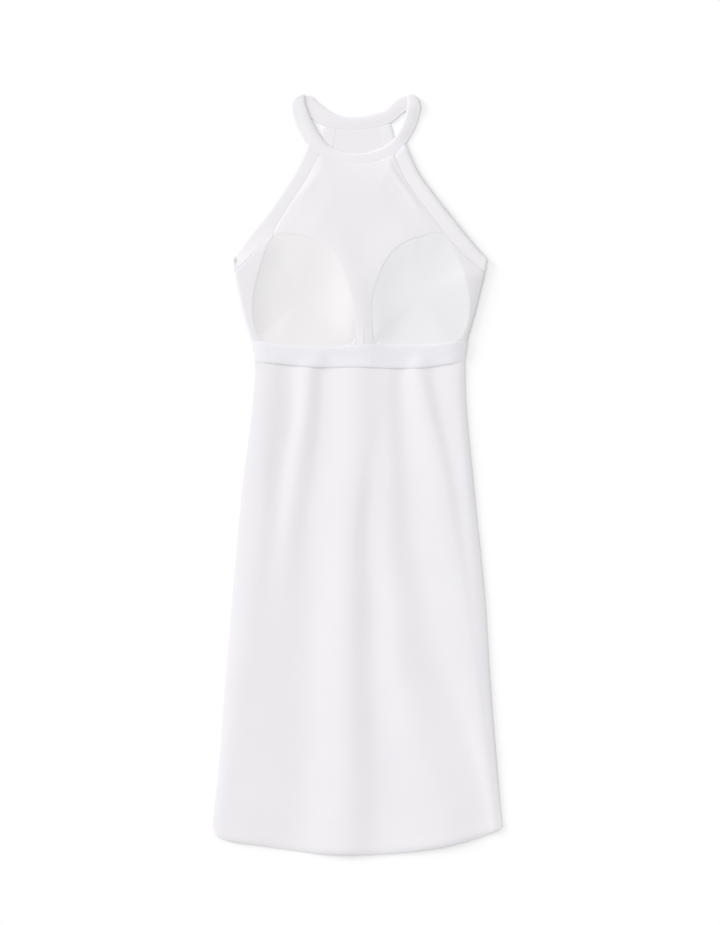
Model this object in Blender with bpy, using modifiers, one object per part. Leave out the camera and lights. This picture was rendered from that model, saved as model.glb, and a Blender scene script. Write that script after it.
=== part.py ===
"""Halter dress in white stretch knit, laid flat on its back, inside out, with its built-in bra on top."""

import math

import bmesh
import bpy
import numpy as np

for old in list(bpy.data.objects):
    bpy.data.objects.remove(old, do_unlink=True)

# Lengths below are millimetres on the laid garment. "down" runs from the shoulder folds towards the hem.
MM = 0.001
DRESS_LENGTH = 1142.0

# Cloth thicknesses
JERSEY = 1.2
LINING = 1.0
FOAM = 2.4
ELASTIC = 1.7
NECK_STRIP = 2.0
ARMHOLE_STRIP = 2.2
BACK_STRIP = 1.2

# How the layers lie on one another
LAYER_GAP = 0.3
SEAM_GAP = 0.4
BACK_SEAM_GAP = 0.5
NECK_SEAM = 0.7
STRIP_LIFT = 0.1
FRONT_REST = JERSEY + LAYER_GAP
BRA_REST = FRONT_REST + JERSEY + LAYER_GAP

# Turned hem
HEM_DEPTH = 16.0
HEM_EXTRA = 0.8

# Bra, laid with its hollow side up: it rises over a long way from the neck, and over a short way from the sides
BRA_LIFT = 3.0
BRA_RAMP_DOWN = (200, 270)
BRA_RAMP_REACH = (55, 10)
CUP_LIFT = 0.15
CUP_REST = BRA_REST + CUP_LIFT
CUP_RIM_POWER = 5
RIM_FALL = 0.45

# Rise of the front's armhole edges over the back, by the distance down, and how far inward it is felt
ARCH_DOWN = (95, 140, 185, 230, 268)
ARCH_SHARE = (0, 0.6, 1.0, 0.7, 0)
ARCH_LIFT = {"left": 1.0, "right": 2.0}
ARCH_FALL = 35.0

# Shoulder turns of the neck strip
NECK_LOW = NECK_STRIP / 2
NECK_HIGH = 3.7
SHOULDER_BOW = 3.0

# Each armhole strip by cross lines, from the neck to the underarm: free edge, then the edge sewn to the panel.
# edge_x, edge_down, sewn_x, sewn_down
FRONT_ARMHOLE = {
    "left": [
        (-75, 77.3, -57, 95.3),
        (-93, 116, -74, 128),
        (-120, 159, -102, 171),
        (-142, 189, -123, 204),
        (-162, 213, -145, 230),
        (-176, 233, -164, 250),
        (-186, 248, -183, 268),
    ],
    "right": [
        (74, 77.9, 57, 95.3),
        (92.5, 120, 73.5, 131),
        (120.5, 160, 102, 171.5),
        (145, 191, 127.5, 205),
        (164, 214.5, 149, 230.5),
        (180, 233.5, 170, 250.5),
        (195, 248.5, 192, 268),
    ],
}
BACK_ARMHOLE = {
    "left": [
        (-50.5, 49, -31, 54.3),
        (-55, 70, -33.5, 73),
        (-64, 108, -44.5, 113),
        (-81, 153, -64, 162),
        (-108, 198, -94, 212),
        (-148, 231, -139, 249),
        (-186, 248, -183, 268),
    ],
    "right": [
        (50.8, 45.4, 31, 51.6),
        (57, 68, 37, 71),
        (66, 108, 47, 113),
        (83, 153, 66, 162),
        (110, 198, 96, 212),
        (152, 230, 143, 249),
        (195, 248, 192, 268),
    ],
}

# Side seams below the armhole strips: down, left_x, right_x
SIDE_SEAM = [
    (268, -183, 192),
    (310, -175, 182),
    (340, -168, 174),
    (374, -157, 164.5),
    (405, -153, 162),
    (460, -156, 163),
    (520, -163, 168),
    (580, -171, 174),
    (640, -177, 180),
    (760, -188, 192),
    (880, -198, 199.5),
    (1000, -207, 209),
    (1060, -213, 214),
    (1101, -217, 218),
]

# Lower edge from left to right: x, down
HEM_EDGE = [
    (-217, 1101),
    (-209, 1114),
    (-190, 1121),
    (-150, 1127),
    (-100, 1135),
    (-50, 1140.5),
    (0, 1142),
    (40, 1141),
    (85, 1137),
    (130, 1130),
    (175, 1119),
    (206, 1108),
    (218, 1101),
]

# Neck strip, front half, from the left shoulder to the right: free_x, free_down, sewn_x, sewn_down, height
NECK_FRONT = [
    (-78, 4, -96.5, 16, 3.7),
    (-77.5, 15, -96.5, 22.5, 3.7),
    (-73, 29, -94, 36, 3.6),
    (-65, 46, -86.5, 54, 3.4),
    (-55, 64, -74, 76, 3.1),
    (-42, 79, -56, 94, 2.9),
    (-22, 88, -28, 104, 2.9),
    (0, 91, 0, 107, 2.9),
    (21, 88, 27, 104, 2.9),
    (41, 80, 56, 94, 2.9),
    (56, 68, 73, 76.5, 3.1),
    (67, 50, 87, 53, 3.4),
    (73, 33, 93.5, 34, 3.6),
    (76, 15, 95, 21, 3.7),
    (74.6, 4.4, 92.6, 13.4, 3.7),
]
# Neck strip, back half, from the right shoulder to the left
NECK_BACK = [
    (74.6, 4.4, 92.6, 13.4, 1.0),
    (65, 5.5, 79, 22.5, 1.0),
    (54, 14, 67, 32, 1.0),
    (42, 25, 51, 44.5, 1.0),
    (22, 32, 28, 51.5, 1.0),
    (0, 36, 0, 55, 1.0),
    (-24, 34, -30, 53.5, 1.0),
    (-42, 26, -51, 48, 1.0),
    (-57, 15, -69, 37, 1.0),
    (-69, 4.5, -84, 26, 1.0),
    (-78, 4, -96.5, 16, 1.0),
]

# Cup rims, round from the corner at the armhole by the top and the inner side to the foot and the outer side.
# x, down, rim height over the bra's lift
CUP_RIM = {
    "left": [
        (-124, 215.5, 0.3),
        (-80, 216, 0.8),
        (-45, 231, 1.8),
        (-22, 264, 3.2),
        (-8, 306, 4.6),
        (-2, 350, 4.0),
        (-10, 377, 1.6),
        (-66, 382, 1.0),
        (-134, 374, 0.6),
        (-151, 354, 0.8),
        (-155, 316, 1.0),
        (-144, 260, 0.8),
    ],
    "right": [
        (132, 214.5, 0.3),
        (99, 215.5, 0.8),
        (66, 229, 1.2),
        (42, 255, 1.3),
        (24, 304, 1.2),
        (24, 350, 1.2),
        (32, 374, 1.0),
        (91, 378, 1.0),
        (146, 373, 0.9),
        (163, 354, 1.4),
        (168, 318, 2.0),
        (158, 264, 1.5),
    ],
}
CUP_MIDDLE = {"left": (-80, 305), "right": (95, 303)}

# Outer edge of each narrow side piece of the lining, from the cup's top corner down to the elastic: x, down
LINING_SIDE_EDGE = {
    "left": [(-127, 214.5), (-144.5, 232), (-163, 252), (-179.5, 272), (-172, 308), (-165.5, 338), (-155.5, 373)],
    "right": [(134.5, 216), (150, 233.5), (169, 252.5), (188, 272), (179, 308), (171.5, 338), (162.5, 372)],
}

# Lower edge of the elastic from left to right: x, down
ELASTIC_FOOT = [
    (-151.5, 404),
    (-115, 407),
    (-60, 412),
    (-5, 411.5),
    (23, 412),
    (60, 413.5),
    (99, 412.5),
    (130, 408.5),
    (160.5, 403),
]

# Soft folds of the skirt. Each runs down the cloth as a crest or a hollow, here by the distance down that a row
# stands at: where each line lies across (x), and how high it lifts the front off the back.
FOLD_DOWN = (405, 478, 560, 664, 760, 853, 977, 1070, 1142)
FOLD_LINES = {
    "crest_1": {"across": (-134, -138, -143, -148, -160, -170, -185, -198, -202),
                "lift": (2.7, 2.7, 2.7, 2.6, 2.8, 3.0, 3.0, 2.8, 2.6)},
    "hollow_1": {"across": (-101, -99, -112, -121, -131, -140, -150, -160, -165),
                 "lift": (0.2, 0.2, 0.5, 1.3, 1.9, 2.0, 2.1, 2.0, 1.8)},
    "crest_2": {"across": (-71, -76, -88, -104, -112, -118, -126, -132, -136),
                "lift": (2.7, 2.6, 2.2, 1.8, 1.5, 1.4, 1.3, 1.3, 1.2)},
    "hollow_2": {"across": (-50, -51, -60, -73, -73, -74, -78, -87, -92),
                 "lift": (0.3, 0.2, 0.1, 0.0, 0.0, 0.0, 0.0, 0.0, 0.0)},
    "crest_3": {"across": (0, 4, 0, -9, -12, -14, -12, -14, -18),
                "lift": (3.4, 3.5, 3.5, 3.6, 3.6, 3.6, 3.6, 3.5, 3.4)},
    "hollow_3": {"across": (32, 34, 28, 19, 24, 26, 33, 37, 38),
                 "lift": (1.9, 2.0, 1.9, 1.3, 0.8, 0.5, 0.5, 0.6, 0.7)},
    "crest_4": {"across": (46, 48, 47, 47, 60, 66, 95, 119, 130),
                "lift": (1.3, 1.4, 1.9, 2.3, 2.5, 2.6, 2.8, 2.8, 2.6)},
    "hollow_4": {"across": (64, 68, 76, 83, 102, 118, 164, 187, 195),
                 "lift": (0.1, 0.0, 0.0, 0.2, 0.3, 0.3, 0.6, 0.8, 0.9)},
    "crest_5": {"across": (90, 107, 126, 144, 161, 174, 194, 204, 209),
                "lift": (3.0, 3.1, 3.0, 2.8, 2.7, 2.6, 2.3, 1.9, 1.7)},
    "hollow_5": {"across": (113, 126, 145, 161, 173, 182, 199, 208, 212),
                 "lift": (1.0, 1.2, 1.3, 1.3, 1.4, 1.4, 1.5, 1.3, 1.2)},
    "crest_6": {"across": (140, 149, 161, 170, 179, 189, 203, 210, 214),
                "lift": (1.9, 1.8, 1.5, 1.0, 0.8, 0.6, 0.6, 0.6, 0.6)},
}
# Where the folds start under the elastic
FOLD_START = (365, 425)
# How high the sewn seams' bulk holds the front's upper side at each edge of the skirt, by the same distances down,
# and how far in its underside comes down to the seam
EDGE_LIFT = {"left": (1.7, 1.6, 1.4, 1.1, 0.9, 1.1, 1.4, 1.7, 1.7), "right": (0.3,) * 9}
MOST_EDGE_LIFT = 1.8
FOLD_SIDE_RAMP = 12.0

# Least share of the inward move kept back at a pointed corner of an outline
SHARPEST_CORNER = 0.4
# How many rows of the side seams border the bra
BRA_SIDE_ROWS = 6
# The row that turns the hem's step stands this far above the hem
HEM_ROW_STEP = 1.0
# The lining's side ends this far above the cup's top corner, and its gathered foot dips this far between the cups
CORNER_CLEARANCE = 10.0
GATHER_DIP = 2.0
# Points closer than this are one point, where a sheet closes round
JOIN_WITHIN = 0.001

# How finely the pieces are divided
ARMHOLE_STEPS = 2
SEAM_STEPS = 8
HEM_STEPS = 6
FRONT_NECK_POINTS = 17
BACK_NECK_POINTS = 33
RIM_STEPS = 3
SIDE_ROWS = 22
FRONT_COLUMNS = 36
BACK_COLUMNS = 18
STRIP_COLUMNS = 3
BAND_ROWS = 3
CUP_RINGS = 7
LINING_ROWS = 10
SIDE_LINING_COLUMNS = 2
GATHER_COLUMNS = 10
NECK_STEPS = 2
NECK_COLUMNS = 4
TURN_STEPS = 5

COLOURS = {
    "jersey": ((0.84, 0.83, 0.86), 0.85),
    "lining": ((0.85, 0.84, 0.86), 0.8),
    "foam_left": ((0.88, 0.87, 0.84), 0.9),
    "foam_right": ((0.84, 0.85, 0.86), 0.9),
    "elastic": ((0.86, 0.86, 0.88), 0.75),
    "strip": ((0.85, 0.85, 0.88), 0.8),
}


# Curves through the tabled points
def through(points, count, closed=False):
    """A smooth curve through the points, as `count` points, each span with the same share of them."""
    points = np.asarray(points, float)
    spans = len(points) if closed else len(points) - 1
    if closed:
        padded = np.vstack([points[-1], points, points[:2]])
    else:
        padded = np.vstack([2 * points[0] - points[1], points, 2 * points[-1] - points[-2]])
    places = np.linspace(0, spans, count, endpoint=not closed)
    curve = []
    for place in places:
        span = min(int(place), spans - 1)
        t = place - span
        a, b, c, d = padded[span : span + 4]
        curve.append(
            0.5 * (2 * b + (c - a) * t + (2 * a - 5 * b + 4 * c - d) * t**2 + (3 * b - a - 3 * c + d) * t**3)
        )
    return np.array(curve)


def spread(curve, count):
    """The same curve with `count` points at equal distances along it."""
    steps = np.r_[0, np.cumsum(np.linalg.norm(np.diff(curve[:, :2], axis=0), axis=1))]
    at = np.linspace(0, steps[-1], count)
    return np.column_stack([np.interp(at, steps, curve[:, k]) for k in range(curve.shape[1])])


def smooth_step(value):
    value = np.clip(value, 0, 1)
    return value * value * (3 - 2 * value)


def distance_to(point, curve):
    """Shortest distance from a point to a line of straight steps."""
    start, end = curve[:-1], curve[1:]
    run = end - start
    share = np.clip(((point - start) * run).sum(1) / np.maximum((run * run).sum(1), 1e-9), 0, 1)
    return np.linalg.norm(start + run * share[:, None] - point, axis=1).min()


# Outlines shared by the pieces
armhole_count = (len(FRONT_ARMHOLE["left"]) - 1) * ARMHOLE_STEPS + 1
front_strip = {side: through(rows, armhole_count) for side, rows in FRONT_ARMHOLE.items()}
back_strip = {side: through(rows, armhole_count) for side, rows in BACK_ARMHOLE.items()}
seam_curve = through(SIDE_SEAM, (len(SIDE_SEAM) - 1) * SEAM_STEPS + 1)
hem_top = SIDE_SEAM[-1][0] - HEM_DEPTH
rows_down = np.linspace(SIDE_SEAM[0][0], hem_top - HEM_ROW_STEP, SIDE_ROWS)[1:]
rows_down = np.r_[rows_down, hem_top, SIDE_SEAM[-1][0]]
seam = {
    "left": np.column_stack([np.interp(rows_down, seam_curve[:, 0], seam_curve[:, 1]), rows_down]),
    "right": np.column_stack([np.interp(rows_down, seam_curve[:, 0], seam_curve[:, 2]), rows_down]),
}
hem_curve = through(HEM_EDGE, (len(HEM_EDGE) - 1) * HEM_STEPS + 1)
rim = {side: through(rows, len(rows) * RIM_STEPS, closed=True) for side, rows in CUP_RIM.items()}
neck_front = through(NECK_FRONT, (len(NECK_FRONT) - 1) * NECK_STEPS + 1)
neck_back = through(NECK_BACK, (len(NECK_BACK) - 1) * NECK_STEPS + 1)
neck_seam_front = through([row[2:4] for row in NECK_FRONT[5:10]], FRONT_NECK_POINTS) + (0, NECK_SEAM)


def hem_points(count):
    """The lower edge with points at equal distances, but for one on each rounded corner."""
    points = spread(hem_curve, count)
    points[1], points[-2] = HEM_EDGE[1], HEM_EDGE[-2]
    return points


def side_of(strips, side):
    """One side of a panel: along the sewn edge of the armhole strip, then down the side seam."""
    return np.vstack([strips[side][:, 2:4], seam[side]])


# Heights of the folds and of the bra
def rolled(value):
    """Steep at first and level at the end, as cloth rolls over an edge."""
    return 1 - (1 - np.clip(value, 0, 1)) ** 2


def seams_at(down):
    return np.interp(down, seam_curve[:, 0], seam_curve[:, 1]), np.interp(down, seam_curve[:, 0], seam_curve[:, 2])


def fold_rise(x, down):
    """How far the skirt's folds lift the front's upper side."""
    left, right = seams_at(down)
    grown = smooth_step((down - FOLD_START[0]) / (FOLD_START[1] - FOLD_START[0]))
    if grown <= 0:
        return 0.0
    at = [left] + [np.interp(down, FOLD_DOWN, line["across"]) for line in FOLD_LINES.values()] + [right]
    lift = [np.interp(down, FOLD_DOWN, line["lift"]) for line in FOLD_LINES.values()]
    lift = [np.interp(down, FOLD_DOWN, EDGE_LIFT["left"]), *lift, np.interp(down, FOLD_DOWN, EDGE_LIFT["right"])]
    k = int(np.clip(np.searchsorted(at, x) - 1, 0, len(at) - 2))
    share = (x - at[k]) / max(at[k + 1] - at[k], 1)
    if k == 0:
        share = rolled(share)
    elif k == len(at) - 2:
        share = 1 - rolled(1 - share)
    else:
        share = smooth_step(share)
    return grown * (lift[k] + (lift[k + 1] - lift[k]) * share)


def under_rise(x, down):
    """How far the folds lift the front's underside, which comes down to the seams at both edges."""
    left, right = seams_at(down)
    return fold_rise(x, down) * smooth_step(min(x - left, right - x) / FOLD_SIDE_RAMP)


def arch_rise(side, down):
    """How far the armhole's edge of the front stands off the back."""
    return ARCH_LIFT[side] * smooth_step(np.interp(down, ARCH_DOWN, ARCH_SHARE))


def chest_rise(x, down):
    """The same rise on the panel and the lining, less the further in from the armhole."""
    side = "left" if x < 0 else "right"
    inward = distance_to(np.array((x, down), float), front_strip[side][:, 2:4])
    return arch_rise(side, down) * (1 - smooth_step(inward / ARCH_FALL))


BRA_BORDER = [
    side_of(front_strip, "left")[: armhole_count + BRA_SIDE_ROWS],
    side_of(front_strip, "right")[: armhole_count + BRA_SIDE_ROWS],
    neck_seam_front,
]


def rim_share(side, point):
    """How far out a point lies, with 1 on the cup's rim, and the rim's height in that direction."""
    middle = np.array(CUP_MIDDLE[side], float)
    spokes = rim[side][:, :2] - middle
    angles = np.unwrap(np.arctan2(spokes[:, 1], spokes[:, 0]))
    if angles[-1] < angles[0]:
        angles, order = angles[::-1], np.arange(len(angles))[::-1]
    else:
        order = np.arange(len(angles))
    reach = np.linalg.norm(spokes, axis=1)[order]
    lift = rim[side][order, 2]
    offset = point - middle
    angle = math.atan2(offset[1], offset[0])
    angle = angles[0] + (angle - angles[0]) % (2 * math.pi)
    angles = np.r_[angles, angles[0] + 2 * math.pi]
    edge = np.interp(angle, angles, np.r_[reach, reach[0]])
    return np.linalg.norm(offset) / edge, np.interp(angle, angles, np.r_[lift, lift[0]])


def bra_height(x, down):
    """Height of the underside of the lining, rims and elastic over the floor."""
    point = np.array((x, down), float)
    reach = np.interp(down, BRA_RAMP_DOWN, BRA_RAMP_REACH)
    ramp = rolled(min(distance_to(point, line) for line in BRA_BORDER) / reach)
    lift = BRA_LIFT
    for side in CUP_RIM:
        share, height = rim_share(side, point)
        lift += height * math.exp(-((max(share - 1, 0) / RIM_FALL) ** 2))
    return BRA_REST + chest_rise(x, down) + ramp * lift


# Building the pieces
parts = bpy.data.collections.new("halter_dress")
bpy.context.scene.collection.children.link(parts)


def material(name, kind):
    colour, roughness = COLOURS[kind]
    made = bpy.data.materials.new(name + "_cloth")
    made.use_nodes = True
    shader = made.node_tree.nodes["Principled BSDF"]
    shader.inputs["Base Color"].default_value = (*colour, 1)
    shader.inputs["Roughness"].default_value = roughness
    shader.inputs["Metallic"].default_value = 0
    return made


def place(x, down, height):
    return (x * MM, (DRESS_LENGTH / 2 - down) * MM, height * MM)


def cloth(name, kind, points, thickness, offset, closed_round=False):
    """A sheet on a grid of points[column][row] = (x, down, height, share of the thickness), given its thickness."""
    columns, rows = len(points), len(points[0])
    sheet = bmesh.new()
    bmesh.ops.create_grid(sheet, x_segments=columns - 1, y_segments=rows - 1, size=0.5)
    sheet.verts.ensure_lookup_table()
    weight_layer = sheet.verts.layers.deform.verify()
    absent = []
    for vert in sheet.verts:
        column = round((vert.co.x + 0.5) * (columns - 1))
        row = round((0.5 - vert.co.y) * (rows - 1))
        if points[column][row] is None:
            absent.append(vert)
            continue
        x, down, height, share = points[column][row]
        vert.co = place(x, down, height)
        vert[weight_layer][0] = share
    bmesh.ops.delete(sheet, geom=absent, context="VERTS")
    if closed_round:
        bmesh.ops.remove_doubles(sheet, verts=sheet.verts, dist=MM * JOIN_WITHIN)
    data = bpy.data.meshes.new(name)
    sheet.to_mesh(data)
    sheet.free()
    obj = bpy.data.objects.new(name, data)
    parts.objects.link(obj)
    obj.vertex_groups.new(name="thickness")
    solid = obj.modifiers.new("thickness", "SOLIDIFY")
    solid.thickness = thickness * MM
    solid.offset = offset
    solid.vertex_group = "thickness"
    data.materials.append(material(name, kind))
    return obj


def patch(top, bottom, left, right):
    """Points filling the space inside four edges; top and bottom run left to right, the sides run down."""
    across, along = len(top), len(left)
    grid = np.zeros((across, along, 2))
    for i in range(across):
        u = i / (across - 1)
        for j in range(along):
            v = j / (along - 1)
            between = (1 - v) * top[i] + v * bottom[i] + (1 - u) * left[j] + u * right[j]
            corners = (1 - v) * ((1 - u) * top[0] + u * top[-1]) + v * ((1 - u) * bottom[0] + u * bottom[-1])
            grid[i, j] = between - corners
    return grid


def drawn_in(edges, gap):
    """The edges of a closed outline, each starting where the last one ends, moved inward by half a seam's gap."""
    loop = np.vstack([edge[:-1] for edge in edges])
    before, after = np.roll(loop, 1, axis=0), np.roll(loop, -1, axis=0)
    first = loop - before
    second = after - loop
    first /= np.maximum(np.linalg.norm(first, axis=1), 1e-9)[:, None]
    second /= np.maximum(np.linalg.norm(second, axis=1), 1e-9)[:, None]
    normals = np.column_stack([-(first + second)[:, 1], (first + second)[:, 0]])
    lengths = np.maximum((normals * normals).sum(1) / 2, SHARPEST_CORNER)
    moved = loop + normals / lengths[:, None] * gap / 2
    moved = np.vstack([moved, moved[:1]])
    ends = np.cumsum([0] + [len(edge) - 1 for edge in edges])
    return [moved[start : end + 1] for start, end in zip(ends[:-1], ends[1:])]


def sheet_of(name, kind, edges, height, thickness, share=None, gap=SEAM_GAP):
    """A sheet filling four edges, its underside at height(x, down)."""
    top, bottom, left, right = edges
    top, right, bottom, left = drawn_in((top, right, bottom[::-1], left[::-1]), gap)
    grid = patch(top, bottom[::-1], left[::-1], right)
    points = [
        [
            (x, down, height(x, down), 1.0 if share is None else share(x, down, row))
            for row, (x, down) in enumerate(column)
        ]
        for column in grid
    ]
    return cloth(name, kind, points, thickness, 1.0)


# Back panel, flat on the floor
back_top = through([row[2:4] for row in NECK_BACK[3:8]], BACK_NECK_POINTS)
back_top = back_top[::-1] + (0, NECK_SEAM)
inner = (back_top[:, 0] > BACK_ARMHOLE["left"][0][2]) & (back_top[:, 0] < BACK_ARMHOLE["right"][0][2])
back_top = np.vstack([back_strip["left"][:1, 2:4], back_top[inner], back_strip["right"][:1, 2:4]])
back_top = spread(back_top, BACK_COLUMNS + 1)
sheet_of(
    "back_panel",
    "jersey",
    (back_top, hem_points(BACK_COLUMNS + 1), side_of(back_strip, "left"), side_of(back_strip, "right")),
    lambda x, down: 0.0,
    JERSEY,
    gap=BACK_SEAM_GAP,
)

# Front panel, with the skirt's folds, its seams' bulk and the turned hem on its upper side
last_row = len(side_of(front_strip, "left")) - 1
front_total = JERSEY + HEM_EXTRA + MOST_EDGE_LIFT
front_top_edge = spread(neck_seam_front, FRONT_COLUMNS + 1)


def front_share(x, down, row):
    """Share of the thickest wall: the cloth, the hem's turned allowance and what fills the side seams."""
    hem = HEM_EXTRA if row >= last_row - 1 else 0.0
    return (JERSEY + hem + fold_rise(x, down) - under_rise(x, down)) / front_total


sheet_of(
    "front_panel",
    "jersey",
    (
        front_top_edge,
        hem_points(FRONT_COLUMNS + 1),
        side_of(front_strip, "left"),
        side_of(front_strip, "right"),
    ),
    lambda x, down: FRONT_REST + chest_rise(x, down) + under_rise(x, down),
    front_total,
    share=front_share,
)

# Strips that bind the armholes
def front_strip_height(side):
    return lambda x, down: FRONT_REST + STRIP_LIFT + arch_rise(side, down)


for side in ("left", "right"):
    for panel, strips, height, thickness in (
        ("front", front_strip, front_strip_height(side), ARMHOLE_STRIP),
        ("back", back_strip, lambda x, down: 0.0, BACK_STRIP),
    ):
        rows = strips[side]
        outer, sewn = rows[:, :2], rows[:, 2:4]
        ends = [np.linspace(outer[k], sewn[k], STRIP_COLUMNS + 1) for k in (0, -1)]
        edges = (ends[0], ends[1], outer, sewn)
        if side == "right":
            edges = (ends[0][::-1], ends[1][::-1], sewn, outer)
        sheet_of(f"armhole_band_{panel}_{side}", "strip", edges, height, thickness)


# Neck strip: one closed ring, turned over at both shoulders
def shoulder_turn(free, sewn, outward, rising):
    """Cross lines of the half turn at a shoulder, from the lower layer up or from the upper layer down."""
    middle, radius = (NECK_LOW + NECK_HIGH) / 2, (NECK_HIGH - NECK_LOW) / 2
    lines = []
    for step in range(1, TURN_STEPS):
        angle = math.pi * step / TURN_STEPS
        height = middle - radius * math.cos(angle) * (1 if rising else -1)
        reach = radius * math.sin(angle)
        lines.append((*(free + outward * reach), *(sewn + outward * reach), height, *(outward * SHOULDER_BOW)))
    return lines


def bowed(rows, first, last):
    """Cross lines of half the strip, bowed outward in their middle next to the two shoulders."""
    bows = np.zeros((len(rows), 2))
    bows[0], bows[1] = first * SHOULDER_BOW, first * SHOULDER_BOW / 2
    bows[-1], bows[-2] = last * SHOULDER_BOW, last * SHOULDER_BOW / 2
    return [(*row, *bow) for row, bow in zip(rows, bows)]


def outward_of(free, sewn):
    run = (sewn - free) / np.linalg.norm(sewn - free)
    normal = np.array((run[1], -run[0]))
    return normal if normal[1] < 0 else -normal


right_free, right_sewn = neck_front[-1, :2], neck_front[-1, 2:4]
left_free, left_sewn = neck_front[0, :2], neck_front[0, 2:4]
to_right, to_left = outward_of(right_free, right_sewn), outward_of(left_free, left_sewn)
upper_half = bowed(neck_front, to_left, to_right)
ring = [
    *upper_half,
    *shoulder_turn(right_free, right_sewn, to_right, rising=False),
    *bowed(neck_back, to_right, to_left),
    *shoulder_turn(left_free, left_sewn, to_left, rising=True),
    upper_half[0],
]
cloth(
    "neckband",
    "strip",
    [
        [
            (
                row[0] + (row[2] - row[0]) * s + row[5] * 4 * s * (1 - s),
                row[1] + (row[3] - row[1]) * s + row[6] * 4 * s * (1 - s),
                row[4],
                1.0,
            )
            for s in np.linspace(0, 1, NECK_COLUMNS + 1)
        ]
        for row in ring
    ],
    NECK_STRIP,
    0.0,
    closed_round=True,
)

# Cups: moulded bowls, open side up
def bowl_share(s, stretch):
    """Height from 0 at a cup's middle to 1 on its rim: round inside, and true to the rim's outline at the rim."""
    edge = s**CUP_RIM_POWER
    return (s * stretch) ** 2 * (1 - edge) + edge


for side in ("left", "right"):
    middle = np.array(CUP_MIDDLE[side], float)
    spokes = rim[side][:, :2] - middle
    lengths = np.linalg.norm(spokes, axis=1)
    spokes = spokes * ((lengths - SEAM_GAP / 2) / lengths)[:, None]
    rim_heights = [bra_height(*(middle + spoke)) for spoke in spokes]
    columns = []
    for spoke, rim_height in list(zip(spokes, rim_heights)) + [(spokes[0], rim_heights[0])]:
        column = []
        for s in np.linspace(1, 0, CUP_RINGS + 1):
            bowl = bowl_share(s, np.linalg.norm(spoke) / lengths.mean())
            column.append((*(middle + spoke * s), CUP_REST + (rim_height - CUP_REST) * bowl, 1.0))
        columns.append(column)
    if side == "right":
        columns = columns[::-1]
    cloth(f"cup_{side}", f"foam_{side}", columns, FOAM, 1.0, closed_round=True)

# Centre of the lining, between the neck strip, the armhole strips and the cups
to_shelf_end = 2 * RIM_STEPS
to_inner_foot = 6 * RIM_STEPS
gather_line = np.linspace(rim["left"][to_inner_foot, :2], rim["right"][to_inner_foot, :2], GATHER_COLUMNS + 1)
gather_line[1:-1, 1] += GATHER_DIP


def along_strip(side):
    """The armhole strip's sewn edge from the neck down to the cup's top corner."""
    sewn = front_strip[side][:, 2:4]
    above = sewn[sewn[:, 1] < rim[side][0, 1] - CORNER_CLEARANCE]
    return spread(np.vstack([above, rim[side][0, :2]]), LINING_ROWS + 1)


shelf = {side: rim[side][: to_shelf_end + 1, :2] for side in rim}
valley_side = {side: rim[side][to_shelf_end : to_inner_foot + 1, :2] for side in rim}
lining_top = spread(neck_seam_front, 2 * to_shelf_end + GATHER_COLUMNS + 1)
lining_top, right_above, right_shelf, right_valley, foot, left_valley, left_shelf, left_above = drawn_in(
    (
        lining_top,
        along_strip("right"),
        shelf["right"],
        valley_side["right"],
        gather_line[::-1],
        valley_side["left"][::-1],
        shelf["left"][::-1],
        along_strip("left")[::-1],
    ),
    SEAM_GAP,
)
across_valley = np.linspace(left_shelf[0], right_shelf[-1], GATHER_COLUMNS + 1)
upper_foot = np.vstack([left_shelf[::-1][:-1], across_valley, right_shelf[::-1][1:]])
upper = patch(lining_top, upper_foot, left_above[::-1], right_above)
valley = patch(across_valley, foot[::-1], left_valley[::-1], right_valley)
lining_points = []
for column, above in enumerate(upper):
    within = to_shelf_end <= column <= to_shelf_end + GATHER_COLUMNS
    below = valley[column - to_shelf_end][1:] if within else [None] * (to_inner_foot - to_shelf_end)
    lining_points.append(
        [None if at is None else (*at, bra_height(*at), 1.0) for at in [*above, *below]]
    )
cloth("lining_centre", "lining", lining_points, LINING, 1.0)

# Narrow side pieces of the lining, outside the cups
to_outer_foot = 8 * RIM_STEPS
for side in ("left", "right"):
    beside = np.vstack([rim[side][:1, :2], rim[side][::-1][: len(rim[side]) - to_outer_foot, :2]])
    outer = through(LINING_SIDE_EDGE[side], len(beside))
    ends = [np.linspace(outer[k], beside[k], SIDE_LINING_COLUMNS + 1) for k in (0, -1)]
    edges = (ends[0], ends[1], outer, beside)
    if side == "right":
        edges = (ends[0][::-1], ends[1][::-1], beside, outer)
    sheet_of(f"lining_side_{side}", "lining", edges, bra_height, LINING)

# Elastic under the cups
cup_foot = {side: rim[side][to_inner_foot : to_outer_foot + 1, :2] for side in rim}
elastic_top = np.vstack(
    [
        [LINING_SIDE_EDGE["left"][-1]],
        cup_foot["left"][::-1],
        gather_line[1:-1],
        cup_foot["right"],
        [LINING_SIDE_EDGE["right"][-1]],
    ]
)
foot_curve = through(ELASTIC_FOOT, (len(ELASTIC_FOOT) - 1) * SEAM_STEPS + 1)
elastic_foot = np.column_stack(
    [elastic_top[:, 0], np.interp(elastic_top[:, 0], foot_curve[:, 0], foot_curve[:, 1])]
)
elastic_foot[0], elastic_foot[-1] = foot_curve[0], foot_curve[-1]
sheet_of(
    "underband",
    "elastic",
    (
        elastic_top,
        elastic_foot,
        np.linspace(elastic_top[0], elastic_foot[0], BAND_ROWS + 1),
        np.linspace(elastic_top[-1], elastic_foot[-1], BAND_ROWS + 1),
    ),
    bra_height,
    ELASTIC,
)
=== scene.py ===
# %% [markdown]
# # A white halter dress, laid flat and inside out
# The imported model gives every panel, strip and cup as a plain wall of cloth. This file dresses it: each
# wall gets a finer sheet of much the same shape, with soft folds, a turned hem, seams, stitches and a fine
# knit. Lengths in the tables are millimetres on the laid dress: x to the viewer's right, "down" from the
# shoulder folds towards the hem, and height up from the floor. One helper turns them into metres.

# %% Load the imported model
import math

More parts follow.
